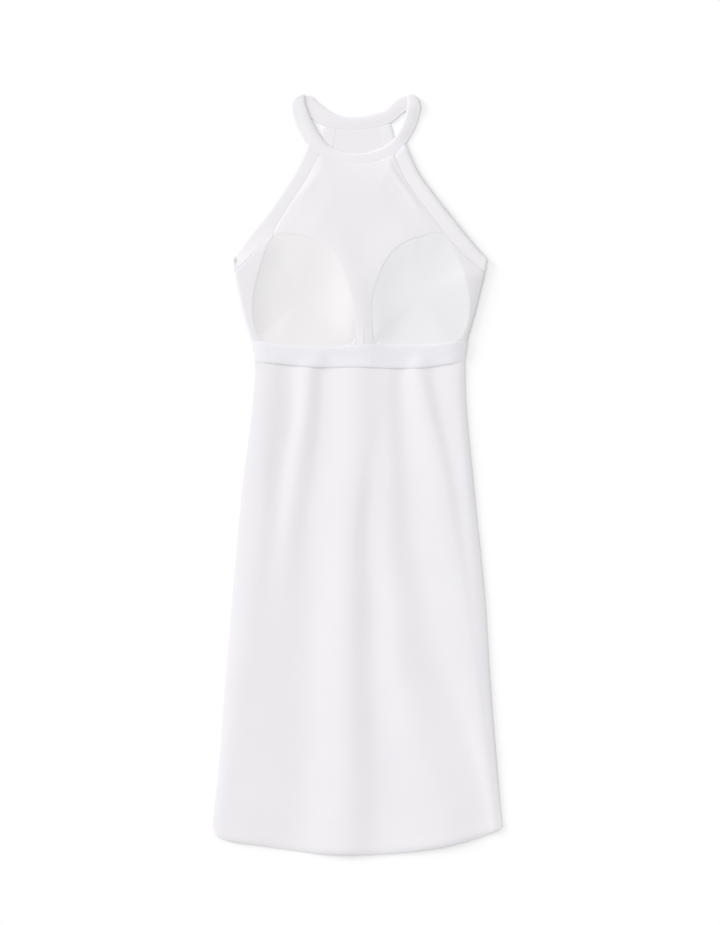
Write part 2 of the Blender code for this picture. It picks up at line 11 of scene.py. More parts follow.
import bmesh
import bpy
import numpy as np
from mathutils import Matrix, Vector
from mathutils.bvhtree import BVHTree


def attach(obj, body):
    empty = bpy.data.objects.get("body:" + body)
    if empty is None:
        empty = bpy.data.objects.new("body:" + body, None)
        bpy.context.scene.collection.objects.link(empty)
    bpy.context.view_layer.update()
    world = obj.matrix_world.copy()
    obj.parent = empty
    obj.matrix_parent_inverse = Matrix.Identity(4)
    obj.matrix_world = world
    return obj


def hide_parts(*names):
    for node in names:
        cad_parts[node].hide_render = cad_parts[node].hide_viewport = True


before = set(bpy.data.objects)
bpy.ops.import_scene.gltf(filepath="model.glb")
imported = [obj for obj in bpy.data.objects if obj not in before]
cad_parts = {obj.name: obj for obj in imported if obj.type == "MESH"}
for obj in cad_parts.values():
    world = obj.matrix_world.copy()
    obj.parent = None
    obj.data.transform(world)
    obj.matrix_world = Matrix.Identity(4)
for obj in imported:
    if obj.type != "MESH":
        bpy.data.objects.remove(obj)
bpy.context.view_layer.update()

print("model loaded:", len(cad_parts), "nodes")

# %% [markdown]
# ## The camera
# The dress was photographed from straight above with a long lens, so nothing leans. A 100 mm lens on a 36
# mm sensor stands as high as the whole picture needs at 1.5 mm of cloth a pixel.

# %% Camera straight above
MM = 0.001
DRESS_LENGTH = 1142.0
PICTURE_ROWS, MM_A_PIXEL = 925, 1.5
SENSOR, LENS = 36.0, 100.0
CAMERA_AT = (0.0049, 0.01675)


def metres(x, down, height):
    """A place on the laid dress, in the shared frame."""
    return x * MM, (DRESS_LENGTH / 2 - down) * MM, height * MM


def placed(name, data):
    """A new object in the scene, with this mesh, lamp or camera in it."""
    obj = bpy.data.objects.new(name, data)
    bpy.context.scene.collection.objects.link(obj)
    return obj


camera_data = bpy.data.cameras.new("camera")
camera_data.sensor_width, camera_data.lens = SENSOR, LENS
camera = placed("camera", camera_data)
camera.location = (*CAMERA_AT, PICTURE_ROWS * MM_A_PIXEL * MM * LENS / SENSOR)
bpy.context.scene.camera = camera
print("camera height:", round(camera.location.z, 3), "m")

# %% [markdown]
# ## The tables of the cut
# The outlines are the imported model's, but for the ends of the strips and of the elastic, which meet about a
# millimetre closer here. The heights of the folds, the rims, the neck strip and the edges are set again,
# because the light shows them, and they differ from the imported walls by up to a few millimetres.

# %% Thicknesses and how the layers lie
JERSEY, LINING, FOAM, ELASTIC = 1.2, 1.0, 2.4, 1.7
NECK_STRIP, ARMHOLE_STRIP, BACK_STRIP = 2.0, 2.2, 1.2
LAYER_GAP, SEAM_GAP, NECK_SEAM = 0.3, 0.02, -0.2
FRONT_REST = JERSEY + LAYER_GAP
BRA_REST = FRONT_REST + JERSEY + LAYER_GAP
HEM_DEPTH, HEM_EXTRA = 16.0, 0.15
BRA_LIFT, BRA_RAMP_DOWN, BRA_RAMP_REACH = 3.0, (200, 270), (55, 40)
SIDE_RISE, SIDE_RISE_DOWN = {"left": 5.0, "right": 0.4}, (190, 275, 350, 425)
SIDE_FALL = 45.0
CUP_REST, CUP_RIM_POWER, RIM_FALL = BRA_REST + 0.15, 5, 0.45
ARCH_DOWN, ARCH_SHARE = (95, 140, 185, 230, 268), (0, 0.6, 1.0, 0.7, 0)
ARCH_LIFT, ARCH_FALL = {"left": 1.0, "right": 2.0}, 35.0
NECK_LOW, NECK_HIGH, SHOULDER_BOW = NECK_STRIP / 2, 3.3, 4.0
FOLD_START, FOLD_SIDE_RAMP = (365, 425), 12.0
SHARPEST_CORNER = 0.4
SIDES, UNDERARM = ("left", "right"), 268
print("front rests", round(FRONT_REST, 2), "mm up, bra", round(BRA_REST, 2), "mm up")

# %% Outlines of the strips, panels, cups and elastic
# Armhole strips by cross lines from the neck to the underarm: edge_x, edge_down, sewn_x, sewn_down
FRONT_ARMHOLE = {
    "left": [(-74.3, 76.4, -56.3, 94.4), (-93, 116, -74, 128), (-120, 159, -102, 171), (-142, 189, -123, 204),
             (-162, 213, -145, 230), (-176, 233, -164, 250), (-186, 248, -183, 268)],
    "right": [(73.3, 77.0, 56.3, 94.4), (92.5, 120, 73.5, 131), (120.5, 160, 102, 171.5), (145, 191, 127.5, 205),
              (164, 214.5, 149, 230.5), (180, 233.5, 170, 250.5), (195, 248.5, 192, 268)],
}
BACK_ARMHOLE = {
    "left": [(-50.6, 48.4, -30.9, 53.7), (-55, 70, -33.5, 73), (-64, 108, -44.5, 113), (-81, 153, -64, 162),
             (-108, 198, -94, 212), (-148, 231, -139, 249), (-186, 248, -183, 268)],
    "right": [(50.9, 44.9, 31, 51.0), (57, 68, 37, 71), (66, 108, 47, 113), (83, 153, 66, 162),
              (110, 198, 96, 212), (152, 230, 143, 249), (195, 248, 192, 268)],
}
# Side seams: down, left_x, right_x
SIDE_SEAM = [
    (268, -183, 192), (310, -175, 182), (340, -168, 174), (374, -157, 164.5), (405, -153, 162),
    (460, -156, 163), (520, -163, 168), (580, -171, 174), (640, -177, 180), (760, -188, 192),
    (880, -198, 199.5), (1000, -207, 209), (1060, -213, 214), (1101, -217, 218),
]
# Lower edge from left to right: x, down
HEM_EDGE = [
    (-217, 1101), (-209, 1114), (-190, 1121), (-150, 1127), (-100, 1135), (-50, 1140.5), (0, 1142),
    (40, 1141), (85, 1137), (130, 1130), (175, 1119), (206, 1108), (218, 1101),
]
# Neck strip, front half from the left shoulder, then back half from the right one:
# free_x, free_down, sewn_x, sewn_down, height. The panels are sewn to the rows that the two slices give.
FRONT_NECK_ROWS, BACK_NECK_ROWS = slice(5, 10), slice(3, 8)
NECK_FRONT = [
    (-78, 4, -96.5, 16, 3.3), (-77.5, 15, -96.5, 22.5, 3.3), (-73, 29, -94, 36, 3.25), (-65, 46, -86.5, 54, 3.2),
    (-55, 64, -74, 76, 3.0), (-42, 79, -56, 94, 2.9), (-22, 88, -28, 104, 2.9), (0, 91, 0, 107, 2.9),
    (21, 88, 27, 104, 2.9), (41, 80, 56, 94, 2.9), (56, 68, 73, 76.5, 3.0), (67, 50, 87, 53, 3.2),
    (73, 33, 93.5, 34, 3.25), (76, 15, 95, 21, 3.3), (74.6, 4.4, 92.6, 13.4, 3.3),
]
NECK_BACK = [
    (74.6, 4.4, 92.6, 13.4, 1.0), (65, 5.5, 79, 22.5, 1.0), (54, 14, 67, 32, 1.0), (42, 25, 51, 44.5, 1.0),
    (22, 32, 28, 51.5, 1.0), (0, 36, 0, 55, 1.0), (-24, 34, -30, 53.5, 1.0), (-42, 26, -51, 48, 1.0),
    (-57, 15, -69, 37, 1.0), (-69, 4.5, -84, 26, 1.0), (-78, 4, -96.5, 16, 1.0),
]
# Cup rims from the corner at the armhole, round by the top, the inner side and the foot: x, down, rim height
CUP_RIM = {
    "left": [(-124, 215.5, 0.3), (-80, 216, 0.8), (-45, 231, 1.8), (-22, 264, 3.6), (-8, 306, 5.4),
             (-2, 350, 4.8), (-10, 377, 1.6), (-66, 382, 1.0), (-134, 374, 0.6), (-151, 354, 0.8),
             (-155, 316, 1.0), (-144, 260, 0.8)],
    "right": [(132, 214.5, 0.3), (99, 215.5, 0.8), (66, 229, 1.3), (42, 255, 1.5), (24, 304, 1.6),
              (24, 350, 1.6), (32, 374, 1.0), (91, 378, 1.0), (146, 373, 0.9), (163, 354, 1.6),
              (168, 318, 2.2), (158, 264, 1.7)],
}
CUP_MIDDLE = {"left": (-80, 305), "right": (95, 303)}
BRA_FOOT = {"left": (-157.0, 373), "right": (164.5, 372.5)}
ELASTIC_FOOT = [
    (-152.4, 404), (-115, 407), (-60, 412), (-5, 411.5), (23, 412), (60, 413.5), (99, 412.5), (130, 408.5),
    (161.4, 403),
]
print("side seams tabled at", len(SIDE_SEAM), "heights, the hem at", len(HEM_EDGE), "points")

# %% The skirt's folds
# Each crest and hollow by the distance down that a column stands at: where it lies across, how high it lifts
FOLD_DOWN = (405, 478, 560, 664, 760, 853, 977, 1070, 1142)
FOLD_LINES = [
    ((-134, -138, -143, -148, -160, -170, -185, -198, -202), (2.7, 2.7, 2.7, 2.6, 2.8, 3.0, 3.0, 2.8, 2.6)),
    ((-101, -99, -112, -121, -131, -140, -150, -160, -165), (0.2, 0.2, 0.5, 1.3, 1.9, 2.0, 2.2, 2.3, 2.2)),
    ((-71, -76, -88, -104, -112, -118, -126, -132, -136), (2.7, 2.6, 2.2, 1.8, 1.5, 1.4, 1.3, 1.3, 1.2)),
    ((-50, -51, -60, -73, -73, -74, -78, -87, -92), (0.3, 0.2, 0.1, 0.0, 0.0, 0.0, 0.0, 0.0, 0.0)),
    ((0, 4, 0, -9, -12, -14, -12, -14, -18), (3.4, 3.5, 3.5, 3.6, 3.6, 3.6, 3.6, 3.5, 3.4)),
    ((32, 34, 28, 19, 24, 26, 33, 37, 38), (1.9, 2.0, 1.9, 1.3, 0.8, 0.5, 0.5, 0.6, 0.7)),
    ((46, 48, 47, 47, 60, 66, 95, 126, 140), (1.3, 1.4, 1.9, 2.3, 2.5, 2.6, 2.8, 2.9, 2.8)),
    ((64, 68, 76, 83, 102, 118, 164, 192, 200), (0.1, 0.0, 0.0, 0.2, 0.3, 0.3, 0.5, 0.3, 0.3)),
    ((90, 107, 126, 144, 161, 174, 194, 205, 209), (3.0, 3.1, 3.0, 2.8, 2.7, 2.6, 2.2, 1.3, 1.1)),
    ((113, 126, 145, 161, 173, 182, 199, 208, 212), (1.0, 1.2, 1.4, 1.7, 2.0, 2.2, 1.9, 1.2, 1.0)),
    ((140, 149, 161, 170, 179, 189, 203, 210, 214), (1.9, 1.8, 1.7, 1.6, 1.8, 1.9, 1.7, 1.1, 0.9)),
]
# How high the seams' bulk holds the front's upper side at each edge of the skirt
EDGE_LIFT = {"left": (1.7, 1.6, 1.4, 1.1, 0.9, 1.1, 1.4, 1.7, 1.7), "right": (0.8,) * 9}
MOST_EDGE_LIFT = 1.8
print(len(FOLD_LINES), "crests and hollows")

# %% [markdown]
# ## Curves and heights
# A Catmull-Rom curve passes through every tabled point, as a cutter's curve rule does. The heights are
# worked out for whole arrays of points at once with numpy, because the finer sheets have tens of thousands
# of points.


# %% Curves through the tabled points
def through(points, steps, closed=False):
    """A smooth curve through the points, with the same number of steps in each span between them."""
    points = np.asarray(points, float)
    spans = len(points) if closed else len(points) - 1
    if closed:
        padded = np.vstack([points[-1], points, points[:2]])
    else:
        padded = np.vstack([2 * points[0] - points[1], points, 2 * points[-1] - points[-2]])
    places = np.linspace(0, spans, spans * steps + (not closed), endpoint=not closed)
    span = np.minimum(places.astype(int), spans - 1)
    t = (places - span)[:, None]
    a, b, c, d = (padded[span + k] for k in range(4))
    return 0.5 * (2 * b + (c - a) * t + (2 * a - 5 * b + 4 * c - d) * t**2 + (3 * b - a - 3 * c + d) * t**3)


def steps_along(curve):
    """How far along its own length each point of a curve lies."""
    return np.r_[0, np.cumsum(np.linalg.norm(np.diff(curve[:, :2], axis=0), axis=1))]


def spread(curve, shares):
    """The same curve with a point at each share of its length."""
    steps = steps_along(curve)
    return np.column_stack([np.interp(shares * steps[-1], steps, curve[:, k]) for k in range(curve.shape[1])])


def even(count):
    return np.linspace(0, 1, count)


def smooth_step(value):
    value = np.clip(value, 0, 1)
    return value * value * (3 - 2 * value)


def ramp(value, start, end):
    """From 0 at the start to 1 at the end, level at both."""
    return smooth_step((value - start) / (end - start))


def tabled(value, places, shares):
    """A tabled share at each value, eased."""
    return smooth_step(np.interp(value, places, shares))


def falling(value):
    """From 1 at 0 down to 0 at 1, steep at first and level at the end, as cloth rolls over an edge."""
    return (1 - np.clip(value, 0, 1)) ** 2


# %% Outlines shared by the pieces
ARMHOLE_STEPS, RIM_STEPS, NECK_STEPS, NECK_SEAM_STEPS = 6, 8, 8, 16
SEAM_STEPS, HEM_STEPS, FOLD_STEPS, FOLD_SAMPLES = 8, 6, 24, 200


def neck_seam(rows):
    """A panel's edge along the neck strip, lapped a little under it."""
    return through([row[2:4] for row in rows], NECK_SEAM_STEPS) + (0, NECK_SEAM)


front_strip = {side: through(rows, ARMHOLE_STEPS) for side, rows in FRONT_ARMHOLE.items()}
back_strip = {side: through(rows, ARMHOLE_STEPS) for side, rows in BACK_ARMHOLE.items()}
rim = {side: through(rows, RIM_STEPS, closed=True) for side, rows in CUP_RIM.items()}
neck_front, neck_back = through(NECK_FRONT, NECK_STEPS), through(NECK_BACK, NECK_STEPS)
neck_seam_front = neck_seam(NECK_FRONT[FRONT_NECK_ROWS])
seam_curve, hem_curve = through(SIDE_SEAM, SEAM_STEPS), through(HEM_EDGE, HEM_STEPS)
hem_top = SIDE_SEAM[-1][0] - HEM_DEPTH
print("hem starts", hem_top, "mm down at the sides")


# %% Heights of the folds
fold_dense = np.linspace(FOLD_DOWN[0], FOLD_DOWN[-1], FOLD_SAMPLES)


def eased(values):
    """A tabled value of a fold line, smoothly along the whole skirt."""
    curve = through(np.column_stack([FOLD_DOWN, values]), FOLD_STEPS)
    return np.interp(fold_dense, curve[:, 0], curve[:, 1])


fold_across = [eased(across) for across, _ in FOLD_LINES]
fold_lift = [EDGE_LIFT["left"], *(lift for _, lift in FOLD_LINES), EDGE_LIFT["right"]]
fold_lift = [eased(lift) for lift in fold_lift]


def seams_at(down):
    """Where the left and the right side seam lie across, at each distance down."""
    return [np.interp(down, seam_curve[:, 0], seam_curve[:, column]) for column in (1, 2)]


def fold_rise(x, down):
    """How far the skirt's folds lift the front's upper side."""
    left, right = seams_at(down)
    grown = ramp(down, *FOLD_START)
    at = [left, *(np.interp(down, fold_dense, line) for line in fold_across), right]
    lift = [np.maximum(np.interp(down, fold_dense, line), 0) for line in fold_lift]
    rise = np.where(x < left, lift[0], lift[-1])
    spans = [np.maximum(after - before, 1) for before, after in zip(at, at[1:])]
    steep = [(after - before) / span for before, after, span in zip(lift, lift[1:], spans)]
    # Level on a crest or in a hollow, sloping on where the cloth goes on falling, steepest at both seams
    slopes = [steep[0] * 2]
    for before, after in zip(steep, steep[1:]):
        same_way = before * after > 0
        slopes.append(np.where(same_way, 2 * before * after / np.where(same_way, before + after, 1), 0))
    slopes.append(steep[-1] * 2)
    for k, span in enumerate(spans):
        s = (x - at[k]) / span
        eased_in, eased_out = s * (1 - s) ** 2, s * s * (s - 1)
        curve = lift[k] + (lift[k + 1] - lift[k]) * s * s * (3 - 2 * s)
        curve = curve + span * (slopes[k] * eased_in + slopes[k + 1] * eased_out)
        rise = np.where((x >= at[k]) & (x <= at[k + 1]), curve, rise)
    return grown * rise


def under_rise(x, down):
    """How far the folds lift the front's underside, which comes down to the seams at both edges."""
    left, right = seams_at(down)
    return fold_rise(x, down) * smooth_step(np.minimum(x - left, right - x) / FOLD_SIDE_RAMP)


# %% Heights of the bra
def distance_to(points, curve):
    """Shortest distance from each point to a line of straight steps."""
    start, run = curve[:-1], np.diff(curve, axis=0)
    offset = points[:, None, :] - start[None]
    share = np.clip((offset * run).sum(2) / np.maximum((run * run).sum(1), 1e-9), 0, 1)
    return np.linalg.norm(offset - run * share[:, :, None], axis=2).min(1)


def arch_rise(side, down):
    """How far the armhole's edge of the front stands off the back."""
    return ARCH_LIFT[side] * tabled(down, ARCH_DOWN, ARCH_SHARE)


def as_points(x, down):
    return np.column_stack([np.ravel(x), np.ravel(down)])


def chest_rise(x, down):
    """The same rise on the panel and the lining, less the further in from the armhole."""
    points = as_points(x, down)
    rise = np.zeros(len(points))
    for side, on_side in (("left", points[:, 0] < 0), ("right", points[:, 0] >= 0)):
        inward = distance_to(points[on_side], front_strip[side][:, 2:4])
        rise[on_side] = arch_rise(side, points[on_side, 1]) * (1 - smooth_step(inward / ARCH_FALL))
    return rise


def side_seam(side, rows):
    return np.column_stack([seams_at(rows)[SIDES.index(side)], rows])


BORDER_FOOT, BORDER_POINTS = 500, 30
border_rows = np.linspace(UNDERARM, BORDER_FOOT, BORDER_POINTS)
bra_border = [np.vstack([front_strip[side][:, 2:4], side_seam(side, border_rows)]) for side in SIDES]
bra_border.append(neck_seam_front[::4])


def from_border(points):
    """Distance from each point to the nearest of the armhole strips, the side seams and the neck's seam."""
    return np.min([distance_to(points, line) for line in bra_border], axis=0)


def side_rise(x, down):
    """How far the stiff cups hold every layer off the floor beside them, most at the side seams."""
    points = as_points(x, down)
    rise = np.zeros(len(points))
    for side, border in zip(SIDES, bra_border):
        left, right = seams_at(points[:, 1])
        inward = np.where((points[:, 0] > left) & (points[:, 0] < right), distance_to(points, border), 0)
        near = (points[:, 0] < 0) == (side == "left")
        rise += near * SIDE_RISE[side] * falling(inward / SIDE_FALL)
    return (tabled(points[:, 1], SIDE_RISE_DOWN, (0, 1, 1, 0)) * rise).reshape(np.shape(x))


def rim_share(side, points):
    """How far out each point lies, with 1 on the cup's rim, and the rim's height in that direction."""
    middle = np.array(CUP_MIDDLE[side], float)
    spokes = rim[side][:, :2] - middle
    angles = np.unwrap(np.arctan2(spokes[:, 1], spokes[:, 0]))
    order = np.argsort(angles)
    angles, reach, lift = angles[order], np.linalg.norm(spokes, axis=1)[order], rim[side][order, 2]
    offset = points - middle
    angle = angles[0] + (np.arctan2(offset[:, 1], offset[:, 0]) - angles[0]) % (2 * math.pi)
    angles = np.r_[angles, angles[0] + 2 * math.pi]
    edge = np.interp(angle, angles, np.r_[reach, reach[0]])
    return np.linalg.norm(offset, axis=1) / edge, np.interp(angle, angles, np.r_[lift, lift[0]])


EDGE_LOSS = {"left": 0.3, "right": 1.6, "foot": 1.2}
EDGE_REACH = {"left": 9.0, "right": (12.0, 24.0), "foot": 8.0}
REACH_DOWN, EDGE_START, CREST_DROOP, BRA_ROLL = (560, 860), (UNDERARM, 288), 0.15, 0.5


def edge_loss(x, down):
    """How much lower a panel is towards its side seams and its hem, as its edge rolls off to the floor."""
    left, right = seams_at(down)
    foot = np.interp(x, hem_curve[:, 0], hem_curve[:, 1])
    right_reach = np.interp(down, REACH_DOWN, EDGE_REACH["right"])
    at_foot = EDGE_LOSS["foot"] + CREST_DROOP * fold_rise(x, down)
    losses = [
        EDGE_LOSS["left"] * falling((x - left) / EDGE_REACH["left"]),
        EDGE_LOSS["right"] * falling((right - x) / right_reach),
        at_foot * falling((foot - down) / EDGE_REACH["foot"]),
    ]
    return np.max(losses, axis=0) * ramp(down, *EDGE_START)


def bra_height(x, down):
    """Height of the underside of the lining, rims and elastic over the floor."""
    points = as_points(x, down)
    reach = np.interp(points[:, 1], BRA_RAMP_DOWN, BRA_RAMP_REACH)
    grown = 1 - falling(from_border(points) / reach)
    lift = np.full(len(points), BRA_LIFT)
    for side in SIDES:
        share, height = rim_share(side, points)
        lift += height * np.exp(-((np.maximum(share - 1, 0) / RIM_FALL) ** 2))
    rolled_off = edge_loss(points[:, 0], points[:, 1])
    return (BRA_REST + chest_rise(x, down) + grown * lift - rolled_off * BRA_ROLL).reshape(np.shape(x))


# %% [markdown]
# ## A wrapper for shader maths
# Materials are written as sums: `base + 0.1 * noise`. The class holds a socket, and each operator adds the
# Math node for it. `wire` adds any other node from its type, its settings and its sockets.

# %% Shader maths as sums
class Wire:
    """A socket that can be added, multiplied and compared as if it were a number."""

    def __init__(self, tree, socket):
        self.tree, self.socket = tree, socket

    def math(self, operation, *others):
        sockets = {0: self} | dict(enumerate(others, 1))
        return wire(self.tree, "ShaderNodeMath", {"operation": operation}, sockets)

    def __add__(self, other):
        return self.math("ADD", other)

    __radd__ = __add__

    def __mul__(self, other):
        return self.math("MULTIPLY", other)

    __rmul__ = __mul__

    def __sub__(self, other):
        return self.math("SUBTRACT", other)

    def __rsub__(self, other):
        return wire(self.tree, "ShaderNodeMath", {"operation": "SUBTRACT"}, {0: other, 1: self})


def wire(tree, kind, settings=None, sockets=None, out=0):
    """A node of any type, and the wire from one of its outputs."""
    node = tree.nodes.new(kind)
    for name, value in (settings or {}).items():
        setattr(node, name, value)
    for name, value in (sockets or {}).items():
        if isinstance(value, Wire):
            tree.links.new(value.socket, node.inputs[name])
        else:
            node.inputs[name].default_value = value
    return Wire(tree, node.outputs[out])


def mixed(tree, share, first, second):
    """A colour between two colours."""
    sockets = {"Factor": share, 6: first, 7: second}
    return wire(tree, "ShaderNodeMix", {"data_type": "RGBA"}, sockets, out=2)


# %% [markdown]
# ## The cloths
# All the cloth is white, so its finish is told by small things: the knit's rows, a soft sheen from its fine
# fuzz, and slight differences of whiteness. Fine jersey has about eleven ribs to the centimetre. Two sine waves
# crossed, one along the ribs and one along the rows, give it better than a noise does, because a knit is
# regular. A second, slow noise bends the ribs a little and changes the white by about one part in a hundred. The
# two cups are one cloth in two copies with painted light and shade: both are a little darker than the jersey as
# painted shade in their bowls, and the left copy is warmer and the right copy cooler for the light falling from
# the left.

# %% A maker for knitted cloths
RIB = 0.0009
ROW = 0.0007


def cloth_finish(name, colour, shade, roughness=0.85, sheen=0.12, rib=RIB, row=ROW, relief=0.00003, turn=0.0):
    """A knitted cloth: two near whites, ribs and rows of the given spacing, and how deep they are."""
    material = bpy.data.materials.new(name)
    material.use_nodes = True
    tree = material.node_tree
    shader = tree.nodes["Principled BSDF"]
    place = wire(tree, "ShaderNodeTexCoord", out=3)
    turned = wire(tree, "ShaderNodeMapping", {}, {"Vector": place, "Rotation": (0, 0, turn)})
    slow_waves = {"Vector": place, "Scale": 9.0, "Detail": 3.0, "Roughness": 0.55}
    slow = wire(tree, "ShaderNodeTexNoise", {}, slow_waves)
    fine = wire(tree, "ShaderNodeTexNoise", {}, {"Vector": place, "Scale": 220.0, "Detail": 2.0})
    parted = wire(tree, "ShaderNodeSeparateXYZ", {}, {"Vector": turned})
    across = Wire(tree, parted.socket.node.outputs["X"])
    along = Wire(tree, parted.socket.node.outputs["Y"])
    ribs = (across * (2 * math.pi / rib) + slow * 9.0).math("SINE")
    rows = (along * (2 * math.pi / row) + fine * 1.5).math("SINE")
    knit = ribs * 0.5 + rows * ribs * 0.25 + fine * 0.35
    colour_share = (slow * 1.6 - 0.3 + (fine - 0.5) * 0.25).math("MAXIMUM", 0.0).math("MINIMUM", 1.0)
    tree.links.new(mixed(tree, colour_share, (*colour, 1), (*shade, 1)).socket, shader.inputs["Base Color"])
    tree.links.new((roughness - 0.06 + fine * 0.12).socket, shader.inputs["Roughness"])
    bump = wire(tree, "ShaderNodeBump", {}, {"Strength": 0.5, "Distance": relief, "Height": knit})
    tree.links.new(bump.socket, shader.inputs["Normal"])
    shader.inputs["Sheen Weight"].default_value = sheen
    shader.inputs["Sheen Roughness"].default_value = 0.6
    shader.inputs["Specular IOR Level"].default_value = 0.25
    return material


# %% The dress's own cloths
finishes = {
    "jersey": cloth_finish("jersey_knit", (0.795, 0.78, 0.804), (0.765, 0.75, 0.78)),
    "lining": cloth_finish(
        "lining_knit", (0.787, 0.772, 0.795), (0.763, 0.748, 0.775), rib=0.0008, row=0.0006
    ),
    # Painted light and shade: one cup cloth in two copies. Both are a little darker than the jersey for the
    # shade in the bowls, and the left is warmer and the right cooler for the light from the left.
    "foam_left": cloth_finish(
        "left_cup_cloth_painted_shade", (0.787, 0.773, 0.782), (0.772, 0.758, 0.767),
        sheen=0.08, rib=0.0007, row=0.0005, turn=0.5,
    ),
    "foam_right": cloth_finish(
        "right_cup_cloth_painted_shade", (0.78, 0.776, 0.795), (0.765, 0.761, 0.78),
        sheen=0.08, rib=0.0007, row=0.0005, turn=-0.5,
    ),
    "elastic": cloth_finish(
        "plush_elastic", (0.815, 0.805, 0.84), (0.79, 0.78, 0.815), rib=0.0022, row=0.0011, relief=0.00012
    ),
    "strip": cloth_finish("strip_knit", (0.803, 0.788, 0.812), (0.778, 0.763, 0.79)),
    "thread": cloth_finish(
        "sewing_thread", (0.83, 0.825, 0.84), (0.80, 0.795, 0.82), rib=0.0005, relief=0.00005
    ),
}
print("finishes:", ", ".join(finishes))

# %% [markdown]
# ## How a sheet of cloth is built
# A flat grid is bent to the tabled edges by blending between its four sides (a Coons patch). The Solidify
# modifier then gives it its thickness, less along a rounded edge, where a vertex group holds the share. A
# small Bevel rounds the cut edges, because real cloth has no sharp corner. The modifiers are applied at the
# end, so the piece is one plain mesh.

# %% Filling four edges
def patch(top, bottom, left, right):
    """Points filling the space inside four edges; top and bottom run left to right, the sides run down."""
    u = np.linspace(0, 1, len(top))[:, None, None]
    v = np.linspace(0, 1, len(left))[None, :, None]
    between = (1 - v) * top[:, None] + v * bottom[:, None] + (1 - u) * left[None] + u * right[None]
    corners = (1 - v) * ((1 - u) * top[0] + u * top[-1]) + v * ((1 - u) * bottom[0] + u * bottom[-1])
    return between - corners


def drawn_in(edges, gap):
    """The edges of a closed outline, each starting where the last one ends, drawn in by half a gap."""
    loop = np.vstack([edge[:-1] for edge in edges])
    first, second = loop - np.roll(loop, 1, axis=0), np.roll(loop, -1, axis=0) - loop
    first /= np.maximum(np.linalg.norm(first, axis=1), 1e-9)[:, None]
    second /= np.maximum(np.linalg.norm(second, axis=1), 1e-9)[:, None]
    normals = np.column_stack([-(first + second)[:, 1], (first + second)[:, 0]])
    lengths = np.maximum((normals * normals).sum(1) / 2, SHARPEST_CORNER)
    moved = loop + normals / lengths[:, None] * gap / 2
    moved = np.vstack([moved, moved[:1]])
    ends = np.cumsum([0] + [len(edge) - 1 for edge in edges])
    return [moved[start:end + 1] for start, end in zip(ends[:-1], ends[1:])]


def filled(top, bottom, left, right, gap=SEAM_GAP):
    """The plan of a panel, drawn in by half a seam's gap all round."""
    top, right, bottom, left = drawn_in((top, right, bottom[::-1], left[::-1]), gap)
    return patch(top, bottom[::-1], left[::-1], right)


# %% A plain mesh, and a sheet with its thickness
EDGE_ROUND, EDGE_SEGMENTS, CUT_ANGLE = 0.00012, 2, 60
JOIN_WITHIN = 0.000001
dressed = {}


def mesh_of(name, made):
    """A plain mesh from the one that was being built, which is let go."""
    mesh = bpy.data.meshes.new(name)
    made.to_mesh(mesh)
    made.free()
    return mesh


def sheet(name, node, finish, plan, height, thickness, share=None, offset=1.0, joined=False):
    """A cloth on plan[column, row] = (x, down), its underside at these heights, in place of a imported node."""
    columns, rows = plan.shape[:2]
    share = np.ones((columns, rows)) if share is None else share
    height = height + np.nan_to_num(side_rise(plan[:, :, 0], plan[:, :, 1]))
    grid = bmesh.new()
    bmesh.ops.create_grid(grid, x_segments=columns - 1, y_segments=rows - 1, size=0.5)
    weights = grid.verts.layers.deform.verify()
    absent = []
    for vert in grid.verts:
        column = round((vert.co.x + 0.5) * (columns - 1))
        row = round((0.5 - vert.co.y) * (rows - 1))
        if math.isnan(plan[column, row, 0]):
            absent.append(vert)
            continue
        vert.co = metres(*plan[column, row], height[column, row])
        vert[weights][0] = share[column, row]
    bmesh.ops.delete(grid, geom=absent, context="VERTS")
    if joined:
        bmesh.ops.remove_doubles(grid, verts=grid.verts, dist=JOIN_WITHIN)
    obj = placed(name, mesh_of(name, grid))
    obj.data.materials.append(finishes[finish])
    obj.vertex_groups.new(name="thickness")
    solid = obj.modifiers.new("thickness", "SOLIDIFY")
    solid.thickness, solid.offset, solid.vertex_group = thickness * MM, offset, "thickness"
    rounding = obj.modifiers.new("edge", "BEVEL")
    rounding.width, rounding.segments = EDGE_ROUND, EDGE_SEGMENTS
    rounding.angle_limit = math.radians(CUT_ANGLE)
    whole = bpy.data.meshes.new_from_object(obj.evaluated_get(bpy.context.evaluated_depsgraph_get()))
    obj.modifiers.clear()
    obj.data = whole
    whole.shade_smooth()
    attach(obj, "root")
    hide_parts(node)
    dressed[node] = obj
    print(f"{name}: {sum(len(face.vertices) - 2 for face in whole.polygons)} triangles")


# %% [markdown]
# ## The back panel
# The lowest layer, flat on the floor. It shows only through the neck opening and at the edges, so it is
# plain. Its own hem would lie hidden under the front's. It could be one flat face, but cloth shows its
# thickness at an edge, so it is as thick as the jersey, and less where its edges roll off.

# %% Back panel
THINNEST, UNDER_SHARE, EVEN_FROM = 0.25, 0.65, 0.0205
BACK_COLUMNS, BACK_ROW_STEP, BACK_EDGE_COLUMNS = 60, 9.0, (0, 0.008)
ABOVE_HEM = 4
# Rows in the hem, down from where it starts, closer together at its fold, its groove and its edge
HEM_ROWS = (-2.0, 0.0, 1.4, 2.6, 3.6, 4.6, 6.5, 8.5, 10.5, 12.0, 13.3, 14.4, 15.3, HEM_DEPTH)


def panel_rows(step):
    """Rows down a side seam: evenly to the hem, and then the hem's own."""
    return np.r_[np.arange(UNDERARM + step, hem_top - ABOVE_HEM, step), hem_top + np.array(HEM_ROWS)]


def panel_columns(count, edge):
    """Shares of a panel's width that its columns stand at, closer together at both edges."""
    edge = np.array(edge)
    return np.r_[edge, np.linspace(EVEN_FROM, 1 - EVEN_FROM, count), 1 - edge[::-1]]


